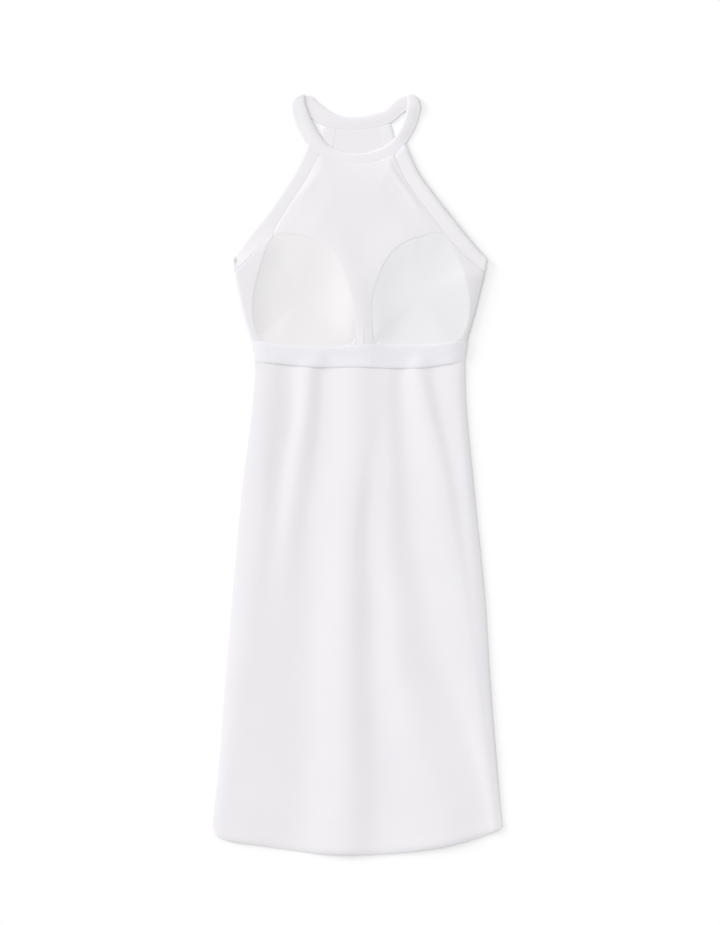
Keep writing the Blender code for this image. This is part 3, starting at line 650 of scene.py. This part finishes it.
def panel_plan(top, strips, rows, shares):
    """A panel's plan from its top edge to the hem, between the armhole strips and the side seams."""
    sides = [np.vstack([strips[side][:, 2:4], side_seam(side, rows)]) for side in SIDES]
    return filled(spread(top, shares), spread(hem_curve, shares), *sides)


def wall_share(wall, total):
    return np.maximum(wall, THINNEST) / total


back_top = neck_seam(NECK_BACK[BACK_NECK_ROWS])[::-1]
inner = (back_top[:, 0] > BACK_ARMHOLE["left"][0][2]) & (back_top[:, 0] < BACK_ARMHOLE["right"][0][2])
back_top = np.vstack([back_strip["left"][:1, 2:4], back_top[inner], back_strip["right"][:1, 2:4]])
back_shares = panel_columns(BACK_COLUMNS, BACK_EDGE_COLUMNS)
back_plan = panel_plan(back_top, back_strip, panel_rows(BACK_ROW_STEP), back_shares)
x, down = back_plan[:, :, 0], back_plan[:, :, 1]
back_share = wall_share(JERSEY - edge_loss(x, down) * UNDER_SHARE, JERSEY)
sheet("back_panel_cloth", "back_panel", "jersey", back_plan, x * 0, JERSEY, back_share)

# %% [markdown]
# ## The front panel
# Its folds are what the light draws on the skirt: crests and hollows that run from the elastic to the hem
# and spread as the skirt widens. They come from the table of lines, with smooth slopes between. Over them
# lies a slow unevenness of less than a fifth of a millimetre, as pressed cloth keeps. A cloth simulation
# would wrinkle it at random, and a table keeps each fold where it is seen.

# %% Front panel with its folds and hem
FRONT_COLUMNS, FRONT_ROW_STEP = 116, 5.2
FRONT_EDGE_COLUMNS = (0, 0.0012, 0.003, 0.0055, 0.0085, 0.012, 0.016)
HEM_RAMP, GROOVE_AT, GROOVE_HALF, GROOVE_DEPTH = (-2.5, 2.5), 3.6, 0.9, 0.05
UNEVENNESS, UNEVEN_FROM, UNEVEN_TO = 0.17, (385, 415), (DRESS_LENGTH, 1082)


def hem_wall(row_down):
    """Thickness by row: the panel's own, and more in the hem, with a faint groove near the hem's top."""
    below = row_down - hem_top
    groove = np.exp(-(((below - GROOVE_AT) / GROOVE_HALF) ** 2)) * GROOVE_DEPTH
    return JERSEY + (HEM_EXTRA - groove) * ramp(below, *HEM_RAMP)


def unevenness(x, down):
    """The slow waves that pressed cloth keeps, 70 mm long and more."""
    waves = np.sin(x / 23 + down / 61) * np.sin(down / 47 - x / 90 + 1.1)
    waves = waves + np.sin(x / 11 - down / 130 + 2.0) * 0.5
    return UNEVENNESS * (waves / 1.5 * 0.5 + 0.5)


front_rows = panel_rows(FRONT_ROW_STEP)
front_shares = panel_columns(FRONT_COLUMNS, FRONT_EDGE_COLUMNS)
front_plan = panel_plan(neck_seam_front, front_strip, front_rows, front_shares)
x, down = front_plan[:, :, 0], front_plan[:, :, 1]
visible = ramp(down, *UNEVEN_FROM) * ramp(down, *UNEVEN_TO)
under, rolled_off = under_rise(x, down), edge_loss(x, down)
front_height = FRONT_REST + chest_rise(x, down).reshape(x.shape) + under + unevenness(x, down) * visible
front_height = front_height - rolled_off * UNDER_SHARE
front_total = JERSEY + HEM_EXTRA + MOST_EDGE_LIFT
row_down = np.r_[front_strip["left"][:, 3], front_rows]
front_wall = hem_wall(row_down)[None, :] + fold_rise(x, down) - under - rolled_off * (1 - UNDER_SHARE)
front_share = wall_share(front_wall, front_total)
sheet("front_panel_cloth", "front_panel", "jersey", front_plan, front_height, front_total, front_share)

# %% [markdown]
# ## The armhole strips
# Each armhole is bound with a folded strip. Its fold is the free edge, so that edge is round, and the strip
# is a little fuller in its middle than at the seam.

# %% Armhole strips
STRIP_COLUMNS, STRIP_LIFT, STRIP_EDGE, STRIP_SEAM = 10, 0.1, 0.45, 0.95
FOLD_ROUND, SEAM_FROM = 0.25, 0.45


def crowned(count, free_first, edge, seam):
    """Share of the thickness across a folded strip: round at the free edge, pressed at the seam."""
    s = even(count) if free_first else even(count)[::-1]
    fold = 1 - (1 - edge) * falling(s / FOLD_ROUND)
    return fold * (1 - (1 - seam) * ramp(s, SEAM_FROM, 1))


def narrow_plan(side, outer, inner, columns, gap=SEAM_GAP):
    """The plan of a narrow piece between its outer and its inner edge, on either side of the dress."""
    ends = [np.linspace(outer[k], inner[k], columns + 1) for k in (0, -1)]
    if side == "left":
        return filled(*ends, outer, inner, gap)
    return filled(ends[0][::-1], ends[1][::-1], inner, outer, gap)


for side in SIDES:
    for panel, strips, thickness in (("front", front_strip, ARMHOLE_STRIP), ("back", back_strip, BACK_STRIP)):
        plan = narrow_plan(side, strips[side][:, :2], strips[side][:, 2:4], STRIP_COLUMNS)
        across = crowned(STRIP_COLUMNS + 1, side == "left", STRIP_EDGE, STRIP_SEAM)
        share = np.tile(across[:, None], (1, plan.shape[1]))
        rest = plan[:, :, 0] * 0
        if panel == "front":
            rest = FRONT_REST + STRIP_LIFT + arch_rise(side, plan[:, :, 1])
        name, node = f"{panel}_{side}_armhole_strip", f"armhole_band_{panel}_{side}"
        sheet(name, node, "strip", plan, rest, thickness, share)

# %% [markdown]
# ## The neck strip
# One doubled strip closed in a ring and turned over at both shoulders. The turn is a half round of the
# strip's own middle line, so the strip keeps its width as it goes over.

# %% Neck strip
NECK_COLUMNS, TURN_STEPS = 12, 14
FREE_EDGE, ARM_EDGE, SEAM_EDGE, BACK_EDGE = 0.3, 0.4, 0.95, 0.35
BACK_BELOW, SEWN_DOWN = (2.9, 1.4), (66, 80)
# How far the free arms of the near half hang, and where: distances down and the share of the drop at each
FREE_DROP, FREE_HALF, LEFT_ARM = 0.9, 0.5, ((24, 42, 84, 92), (0, 1, 1, 0.3))
RIGHT_ARM_DROP, RIGHT_ARM = (0.8, 1.5), ((8, 40, 60, 82), (0, 1, 1, 0))


def shoulder_turn(free, sewn, outward, rising):
    """Cross lines of the half turn at a shoulder, from the lower layer up or from the upper layer down."""
    middle, radius = (NECK_LOW + NECK_HIGH) / 2, (NECK_HIGH - NECK_LOW) / 2
    lines = []
    for step in range(1, TURN_STEPS):
        angle = math.pi * step / TURN_STEPS
        level = middle - radius * math.cos(angle) * (1 if rising else -1)
        reach = radius * math.sin(angle)
        lines.append((*(free + outward * reach), *(sewn + outward * reach), level, *(outward * SHOULDER_BOW)))
    return lines


def bowed(rows, first, last):
    """Cross lines of half the strip, bowed outward in their middle next to the two shoulders."""
    start = smooth_step(1 - np.arange(len(rows)) / NECK_STEPS)
    bows = np.outer(start, first) + np.outer(start[::-1], last)
    return [(*row, *(bow * SHOULDER_BOW)) for row, bow in zip(rows, bows)]


def outward_of(free, sewn):
    run = (sewn - free) / np.linalg.norm(sewn - free)
    normal = np.array((run[1], -run[0]))
    return normal if normal[1] < 0 else -normal


right_free, right_sewn = neck_front[-1, :2], neck_front[-1, 2:4]
left_free, left_sewn = neck_front[0, :2], neck_front[0, 2:4]
to_right, to_left = outward_of(right_free, right_sewn), outward_of(left_free, left_sewn)
upper_half = bowed(neck_front, to_left, to_right)
ring = np.array([
    *upper_half,
    *shoulder_turn(right_free, right_sewn, to_right, rising=False),
    *bowed(neck_back, to_right, to_left),
    *shoulder_turn(left_free, left_sewn, to_left, rising=True),
    upper_half[0],
])
s = even(NECK_COLUMNS + 1)[None, :, None]
free, sewn, bow = ring[:, None, 0:2], ring[:, None, 2:4], ring[:, None, 5:7]
neck_plan = free + (sewn - free) * s + bow * 4 * s * (1 - s)
at_back, across = ramp(ring[:, 4], *BACK_BELOW), s[:, :, 0]
left_arm = tabled(ring[:, 1], *LEFT_ARM) * (ring[:, 0] < 0) * (1 - at_back)
right_arm = tabled(ring[:, 1], *RIGHT_ARM) * (ring[:, 0] > 0) * (1 - at_back)
neck_height = ring[:, 4:5] - FREE_DROP * left_arm[:, None] * falling(across / FREE_HALF)
neck_height = neck_height - right_arm[:, None] * (RIGHT_ARM_DROP[0] + RIGHT_ARM_DROP[1] * across)
sewn_here = ramp(ring[:, 3], *SEWN_DOWN) * (1 - at_back)
neck_seam_share = ARM_EDGE + (SEAM_EDGE - ARM_EDGE) * sewn_here - (ARM_EDGE - BACK_EDGE) * at_back
neck_share = np.array([crowned(NECK_COLUMNS + 1, True, FREE_EDGE, at_seam) for at_seam in neck_seam_share])
sheet(
    "neck_strip", "neckband", "strip", neck_plan, neck_height, NECK_STRIP, neck_share, offset=0.0, joined=True
)

# %% [markdown]
# ## The cups
# Two moulded bowls of foam covered in cloth, hollow side up. Rings from the rim to the middle follow a
# square curve, which is how a moulded bowl rises, and bend to the rim's own outline close to it. The rim is
# pressed thinner, as foam is at its sewn edge, and tucked a little under the lining.

# %% Cups
CUP_SINK, CUP_PRESS, CUP_TUCK, PRESS_WIDTH = 0.18, 0.6, 0.15, 0.2
RIM_RINGS, INNER_FROM, INNER_RINGS = (1, 0.985, 0.965), 0.94, 20


def bowl_share(s, stretch):
    """Height from 0 at a cup's middle to 1 on its rim: round inside, and true to the rim's outline there."""
    edge = s**CUP_RIM_POWER
    return (s * stretch) ** 2 * (1 - edge) + edge


for side in SIDES:
    middle = np.array(CUP_MIDDLE[side], float)
    spokes = rim[side][:, :2] - middle
    lengths = np.linalg.norm(spokes, axis=1)
    spokes = spokes * ((lengths + CUP_TUCK) / lengths)[:, None]
    rim_height = bra_height(*(middle + spokes).T)
    shares = np.r_[RIM_RINGS, np.linspace(INNER_FROM, 0, INNER_RINGS)]
    plan = middle + spokes[:, None, :] * shares[None, :, None]
    stretch = np.linalg.norm(spokes, axis=1) / lengths.mean()
    cup_floor, rim_top = CUP_REST + FOAM, rim_height[:, None] + LINING - CUP_SINK
    top = cup_floor + (rim_top - cup_floor) * bowl_share(shares[None, :], stretch[:, None])
    share = np.tile(1 - CUP_PRESS * ramp(shares, 1 - PRESS_WIDTH, 1), (len(plan), 1))
    closed = [np.concatenate([part, part[:1]]) for part in (plan, top - FOAM * share, share)]
    plan, height, share = [part[::-1] for part in closed] if side == "right" else closed
    sheet(f"{side}_cup", f"cup_{side}", f"foam_{side}", plan, height, FOAM, share, joined=True)

# %% [markdown]
# ## The front lining
# A smooth piece from the neck to the cups, with a narrow valley between them down to the elastic, where it
# is gathered. It is one grid with its lower corners left out. The narrow side pieces fill the space outside
# the cups.

# %% Centre of the lining
LINING_ROWS, GATHER_COLUMNS, CORNER_CLEARANCE, GATHER_DIP = 44, 24, 10, 2.0
to_shelf_end, to_inner_foot, to_outer_foot = 2 * RIM_STEPS, 6 * RIM_STEPS, 8 * RIM_STEPS
gather_line = np.linspace(rim["left"][to_inner_foot, :2], rim["right"][to_inner_foot, :2], GATHER_COLUMNS + 1)
gather_line[1:-1, 1] += GATHER_DIP


def strip_parts(side):
    """The armhole strip's sewn edge, parted where the centre lining turns off to the cup's corner."""
    sewn_edge = front_strip[side][:, 2:4]
    parted = np.searchsorted(sewn_edge[:, 1], rim[side][0, 1] - CORNER_CLEARANCE)
    return sewn_edge[:parted], sewn_edge[parted - 1:]


def along_strip(side):
    """The armhole strip's sewn edge from the neck down to the cup's top corner."""
    return spread(np.vstack([strip_parts(side)[0], rim[side][0, :2]]), even(LINING_ROWS + 1))


shelf = {side: rim[side][:to_shelf_end + 1, :2] for side in rim}
valley_side = {side: rim[side][to_shelf_end:to_inner_foot + 1, :2] for side in rim}
edges = drawn_in(
    (
        spread(neck_seam_front, even(2 * to_shelf_end + GATHER_COLUMNS + 1)),
        along_strip("right"),
        shelf["right"],
        valley_side["right"],
        gather_line[::-1],
        valley_side["left"][::-1],
        shelf["left"][::-1],
        along_strip("left")[::-1],
    ),
    SEAM_GAP,
)
lining_top, right_above, right_shelf, right_valley, foot, left_valley, left_shelf, left_above = edges
across_valley = np.linspace(left_shelf[0], right_shelf[-1], GATHER_COLUMNS + 1)
upper_foot = np.vstack([left_shelf[::-1][:-1], across_valley, right_shelf[::-1][1:]])
upper = patch(lining_top, upper_foot, left_above[::-1], right_above)
valley = patch(across_valley, foot[::-1], left_valley[::-1], right_valley)
lining_plan = np.full((len(upper), LINING_ROWS + 1 + to_inner_foot - to_shelf_end, 2), np.nan)
lining_plan[:, :LINING_ROWS + 1] = upper
lining_plan[to_shelf_end:to_shelf_end + GATHER_COLUMNS + 1, LINING_ROWS + 1:] = valley[:, 1:]

# %% Gathers and creases of the lining
GATHER_DOWN, GATHER_WIDTH, CREASE_INSET, CREASE_END, CREASE_EARLY = (345.0, 380.0), 0.8, 8, 0.35, 0.3
# Gathers: x, half width, height
GATHERS = [
    (-4, 3.2, 0.5), (3.5, 2.4, 0.25), (9, 3.4, 0.55), (16.5, 2.6, 0.35), (21.5, 3.2, 0.5), (28, 2.6, 0.3),
]
# Soft creases as lines from one point to another: x0, down0, x1, down1, half width, height
LINING_CREASES = [(46, 106, 99, 182, 4, 0.9), (55, 106, 110, 184, 3.5, -0.8), (-52, 112, -88, 160, 7, 0.5)]


def crease_rise(x, down, creases):
    """Soft ridges, each along a straight line, that die out at both ends."""
    rise = np.zeros_like(x)
    for x0, down0, x1, down1, half, lift in creases:
        run = np.hypot(x1 - x0, down1 - down0)
        along = ((x - x0) * (x1 - x0) + (down - down0) * (down1 - down0)) / run**2
        apart = ((x - x0) * (down1 - down0) - (down - down0) * (x1 - x0)) / run
        starting, ending = (smooth_step(way / CREASE_END + CREASE_EARLY) for way in (along, 1 - along))
        ends = starting * ending
        rise = rise + lift * np.exp(-((apart / half) ** 2)) * ends
    return rise


x, down = lining_plan[:, :, 0], lining_plan[:, :, 1]
known = ~np.isnan(x)
lining_height, inward = np.zeros_like(x), np.zeros_like(x)
lining_height[known] = bra_height(x[known], down[known])
inward[known] = smooth_step(from_border(as_points(x[known], down[known])) / CREASE_INSET)
gathers = sum(lift * np.exp(-(((x - at) / (half * GATHER_WIDTH)) ** 2)) for at, half, lift in GATHERS)
gathers = gathers * ramp(down, *GATHER_DOWN)
lining_height = lining_height + np.nan_to_num(gathers + crease_rise(x, down, LINING_CREASES) * inward)
sheet("lining_middle", "lining_centre", "lining", lining_plan, lining_height, LINING)

# %% Side pieces of the lining
SIDE_LINING_COLUMNS, SIDE_LAP, SEAM_START, SEAM_POINTS = 8, -0.2, 275, 12
TAPER, TAPER_DOWN = (0.4, 0.85, 1), (262, 277)
side_lining_plans = {}
for side in SIDES:
    beside = np.vstack([rim[side][:1, :2], rim[side][::-1][:len(rim[side]) - to_outer_foot, :2]])
    down_seam = side_seam(side, np.linspace(SEAM_START, BRA_FOOT[side][1], SEAM_POINTS)[:-1])
    outer = spread(np.vstack([strip_parts(side)[1], down_seam, BRA_FOOT[side]]), even(len(beside)))
    plan = side_lining_plans[side] = narrow_plan(side, outer, beside, SIDE_LINING_COLUMNS, SIDE_LAP)
    tapered = np.interp(np.arange(SIDE_LINING_COLUMNS + 1), (0, 1, 2), TAPER)
    tapered = (tapered if side == "left" else tapered[::-1])[:, None]
    tapered = 1 - (1 - tapered) * ramp(plan[:, :, 1], *TAPER_DOWN)
    height = bra_height(plan[:, :, 0], plan[:, :, 1])
    sheet(f"lining_{side}_piece", f"lining_side_{side}", "lining", plan, height, LINING, tapered)

# %% [markdown]
# ## The elastic
# A wide plush elastic sewn under the cups. It is stiffer than the knit, so it keeps long, low bends. Its
# lower edge is thin and lies on the skirt's folds, where a fine shadow line shows it.

# %% Elastic
BAND_ROWS, BAND_LIFT, BAND_FALL, BAND_BLEND, FOOT_PRESS = 14, 0.2, 3.0, 1.2, 0.3
FALL_DOWN, BEND_DOWN = (376, 410), (380, 400)
# Share of the thickness by rows up from the foot
FOOT_ROWS, FOOT_SHARES = (5, 3, 1, 0), (1, 0.85, 0.5, 0.2)
# Upright bends of the elastic: x, half width, height
BENDS = [
    (-60, 9, 0.7), (-42, 7, -0.4), (98, 10, 0.7), (76, 8, -0.3), (20, 14, 0.4), (-118, 12, 0.4), (140, 9, 0.3),
]
cup_foot = {side: rim[side][to_inner_foot:to_outer_foot + 1, :2] for side in rim}
elastic_top = np.vstack([
    [BRA_FOOT["left"]],
    cup_foot["left"][::-1],
    gather_line[1:-1],
    cup_foot["right"],
    [BRA_FOOT["right"]],
])
foot_curve = through(ELASTIC_FOOT, SEAM_STEPS)
foot_down = np.interp(elastic_top[:, 0], foot_curve[:, 0], foot_curve[:, 1])
elastic_foot = np.column_stack([elastic_top[:, 0], foot_down])
elastic_foot[0], elastic_foot[-1] = foot_curve[0], foot_curve[-1]
band_ends = [np.linspace(elastic_top[k], elastic_foot[k], BAND_ROWS + 1) for k in (0, -1)]
band_plan = filled(elastic_top, elastic_foot, *band_ends)
x, down = band_plan[:, :, 0], band_plan[:, :, 1]
band_height = bra_height(x, down) + BAND_LIFT - BAND_FALL * ramp(down, *FALL_DOWN)
skirt_top = FRONT_REST + JERSEY + LAYER_GAP + fold_rise(x, down) - edge_loss(x, down)
band_height = (band_height + skirt_top + np.hypot(band_height - skirt_top, BAND_BLEND)) / 2
band_steps = np.arange(BAND_ROWS + 1)
band_height = band_height - FOOT_PRESS * smooth_step(band_steps - BAND_ROWS + 1)
for at, half, lift in BENDS:
    band_height = band_height + lift * np.exp(-(((x - at) / half) ** 2)) * ramp(down, *BEND_DOWN)
band_foot = np.interp(band_steps, BAND_ROWS - np.array(FOOT_ROWS), FOOT_SHARES)
band_share = np.tile(band_foot, (band_plan.shape[0], 1))
sheet("bra_elastic", "underband", "elastic", band_plan, band_height, ELASTIC, band_share)

# %% [markdown]
# ## Stitches
# A row of stitches is many short threads, each a small bent tube that dips into the cloth at both ends.
# They are laid on the cloth by dropping a ray onto the finished sheets, so every thread touches what it
# sews.

# %% Laying stitches on the cloth
THREAD, THREAD_SIDES, THREAD_STEPS = 0.09, 5, 5
THREAD_DIP, THREAD_PROUD, END_SHARE, RAY_FROM = 0.12, 0.8, 0.55, 100.0


def height_on(tree, x, down):
    """Height of a finished sheet's upper side at a place, or None beside it."""
    hit = tree.ray_cast(Vector(metres(x, down, RAY_FROM)), Vector((0, 0, -1)))[0]
    return None if hit is None else hit.z / MM


def add_thread(made, ends, heights, normal):
    """One short thread: a thin tube that arches over the cloth and dips into it at both ends."""
    rings = []
    for share in even(THREAD_STEPS):
        spot = ends[0] + (ends[1] - ends[0]) * share
        arch = math.sin(math.pi * share)
        level = heights[0] + (heights[1] - heights[0]) * share - THREAD_DIP
        level += (THREAD * THREAD_PROUD + THREAD_DIP) * arch
        radius = THREAD * (END_SHARE + (1 - END_SHARE) * arch)
        ring = []
        for n in range(THREAD_SIDES):
            turn = 2 * math.pi * n / THREAD_SIDES
            beside = spot + normal * radius * math.cos(turn)
            ring.append(made.verts.new(metres(*beside, level + radius * math.sin(turn))))
        rings.append(ring)
    for lower, upper in zip(rings, rings[1:]):
        for n in range(THREAD_SIDES):
            m = (n + 1) % THREAD_SIDES
            made.faces.new((lower[n], lower[m], upper[m], upper[n]))
    made.faces.new(rings[0][::-1])
    made.faces.new(rings[-1])


def stitched(name, lines, node, slot, pitch, length, slant=0.0):
    """One piece with a row of stitches along each line of (x, down) points, laid on a node's cloth."""
    made, count = bmesh.new(), 0
    tree = BVHTree.FromObject(dressed[node], bpy.context.evaluated_depsgraph_get())
    for line in lines:
        steps = steps_along(line)
        for at in np.arange(pitch / 2, steps[-1] - pitch / 2, pitch):
            places = (at - length / 2, at + length / 2)
            ends = [np.array([np.interp(place, steps, line[:, k]) for k in (0, 1)]) for place in places]
            run = (ends[1] - ends[0]) / max(np.linalg.norm(ends[1] - ends[0]), 1e-9)
            normal = np.array((-run[1], run[0]))
            lean = normal * slant * (1 if count % 2 else -1)
            ends = (ends[0] - lean, ends[1] + lean)
            heights = [height_on(tree, *end) for end in ends]
            if None not in heights:
                count += 1
                add_thread(made, ends, heights, normal)
    bmesh.ops.recalc_face_normals(made, faces=made.faces)
    obj = placed(name, mesh_of(name, made))
    obj.data.materials.append(finishes["thread"])
    obj.data.shade_smooth()
    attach(obj, "root")
    print(f"{name}: {count} stitches")
    return obj


# %% Rows of stitches
SEAM_SHARE, HEM_STITCH_ROW, ELASTIC_STITCH_ROWS = 0.8, -7, (2.2, 3.8)
# Pitch, length and slant of the stitches
HEM_STITCH, STRIP_STITCH, ELASTIC_STITCH = (3.0, 2.4), (3.0, 2.3), (3.2, 2.6, 0.35)


def line_on(plan, row):
    """A line across a plan at a row number that may lie between two rows."""
    low = int(row)
    return plan[:, low] + (plan[:, low + 1] - plan[:, low]) * (row - low)


def seam_line(rows):
    """Where the stitches of a folded strip run, nearer its sewn edge."""
    return rows[:, :2] * (1 - SEAM_SHARE) + rows[:, 2:4] * SEAM_SHARE


hem_thread = stitched("hem_stitches", [front_plan[1:-1, HEM_STITCH_ROW]], "front_panel", "jersey", *HEM_STITCH)
neck_line = seam_line(neck_front[NECK_STEPS:-NECK_STEPS])
neck_thread = stitched("neck_stitches", [neck_line], "neckband", "strip", *STRIP_STITCH)
strip_threads = {}
for side in SIDES:
    name, node = f"{side}_armhole_stitches", f"armhole_band_front_{side}"
    strip_threads[side] = stitched(name, [seam_line(front_strip[side][2:-2])], node, "strip", *STRIP_STITCH)
elastic_lines = [line_on(band_plan, row)[2:-2] for row in ELASTIC_STITCH_ROWS]
elastic_thread = stitched("elastic_stitches", elastic_lines, "underband", "elastic", *ELASTIC_STITCH)

# %% [markdown]
# ## The cloth's cut sizes
# The panels, armhole strips, lining pieces, neck strip and elastic print the size that they were cut to and
# their area. The panels' areas are what a flat cut of the same outline measures.

# %% Cut sizes of the panels
def cut_area(plan):
    """Flat area of a plan, in square metres."""
    a, b, c, d = plan[:-1, :-1], plan[1:, :-1], plan[1:, 1:], plan[:-1, 1:]
    p, q = c - a, d - b
    return float(np.nansum(np.abs(p[..., 0] * q[..., 1] - p[..., 1] * q[..., 0])) / 2 * MM * MM)


def cut_size(plan):
    spans = np.nanmax(plan, axis=(0, 1)) - np.nanmin(plan, axis=(0, 1))
    return tuple(float(span) * MM for span in spans)


def declare(node, flat, area):
    print(f"{node}: cut {flat[0]:.3f} x {flat[1]:.3f} m, {area:.4f} m2")


declare("back_panel", cut_size(back_plan), cut_area(back_plan))
declare("front_panel", cut_size(front_plan), cut_area(front_plan))
declare("lining_centre", cut_size(lining_plan), cut_area(lining_plan))

# %% Strips by their length and width
def strip_cut(rows):
    """Length of a strip's middle line and its mean width, in metres."""
    middle = (rows[:, :2] + rows[:, 2:4]) / 2
    length = np.linalg.norm(np.diff(middle, axis=0), axis=1).sum() * MM
    width = np.linalg.norm(rows[:, 2:4] - rows[:, :2], axis=1).mean() * MM
    return float(width), float(length)


for side in SIDES:
    for panel, strips, under in (("front", front_strip, "back_panel"), ("back", back_strip, "floor")):
        width, length = strip_cut(strips[side])
        threads = [strip_threads[side]] if panel == "front" else []
        declare(f"armhole_band_{panel}_{side}", (width, length), width * length)
    side_plan = side_lining_plans[side]
    area = cut_area(side_plan)
    length = np.linalg.norm(np.diff(side_plan.mean(0), axis=0), axis=1).sum() * MM
    declare(f"lining_side_{side}", (area / length, length), area)
width, length = strip_cut(ring)
declare("neckband", (width, length), width * length)
width, length = strip_cut(np.column_stack([elastic_top, elastic_foot]))
declare("underband", (width, length), width * length)

# %% [markdown]
# ## Floor, light and view
# A white floor a little brighter than the cloth, and an even white sky that fills the shadows. Two lights
# stand in the upper left: a high, wide one that gives soft shade, and a low, narrower one, so that a fold a
# few millimetres high still shows.

# %% Floor
FLOOR_HALF, FLOOR_DROP, FLOOR_WHITE, FLOOR_ROUGHNESS = 6.0, 0.0003, 0.93, 0.9
floor_grid = bmesh.new()
bmesh.ops.create_grid(floor_grid, x_segments=2, y_segments=2, size=FLOOR_HALF)
floor = placed("floor", mesh_of("floor", floor_grid))
floor.location = (0, 0, -FLOOR_DROP)
floor_paint = bpy.data.materials.new("white_floor")
floor_paint.use_nodes = True
floor_shader = floor_paint.node_tree.nodes["Principled BSDF"]
floor_shader.inputs["Base Color"].default_value = (FLOOR_WHITE, FLOOR_WHITE, FLOOR_WHITE, 1)
floor_shader.inputs["Roughness"].default_value = FLOOR_ROUGHNESS
floor_shader.inputs["Specular IOR Level"].default_value = 0.0
floor.data.materials.append(floor_paint)
print("floor:", 2 * FLOOR_HALF, "m across")

# %% Light from the upper left
SKY_STRENGTH, LIGHT_TURN = 0.6, 152.0
# Each light: strength, spread and height above the floor in degrees
LIGHTS = {"high_window": (1.25, 70.0, 64.0), "low_window": (1.8, 18.0, 13.0)}

round_by = math.radians(LIGHT_TURN)
for name, (strength, spread_angle, light_height) in LIGHTS.items():
    sun_data = bpy.data.lights.new(name, "SUN")
    sun_data.energy, sun_data.angle = strength, math.radians(spread_angle)
    sun = placed(name, sun_data)
    up = math.radians(light_height)
    level = math.cos(up)
    towards_light = Vector((level * math.cos(round_by), level * math.sin(round_by), math.sin(up)))
    sun.rotation_euler = towards_light.to_track_quat("Z", "Y").to_euler()
    print(name, "from", [round(v, 2) for v in towards_light])

sky = bpy.data.worlds.new("white_room")
sky.use_nodes = True
sky.node_tree.nodes["Background"].inputs["Color"].default_value = (1, 1, 1, 1)
sky.node_tree.nodes["Background"].inputs["Strength"].default_value = SKY_STRENGTH
bpy.context.scene.world = sky
bpy.context.scene.view_settings.view_transform = "Standard"
bpy.context.scene.view_settings.look = "None"
print("sky strength", SKY_STRENGTH)
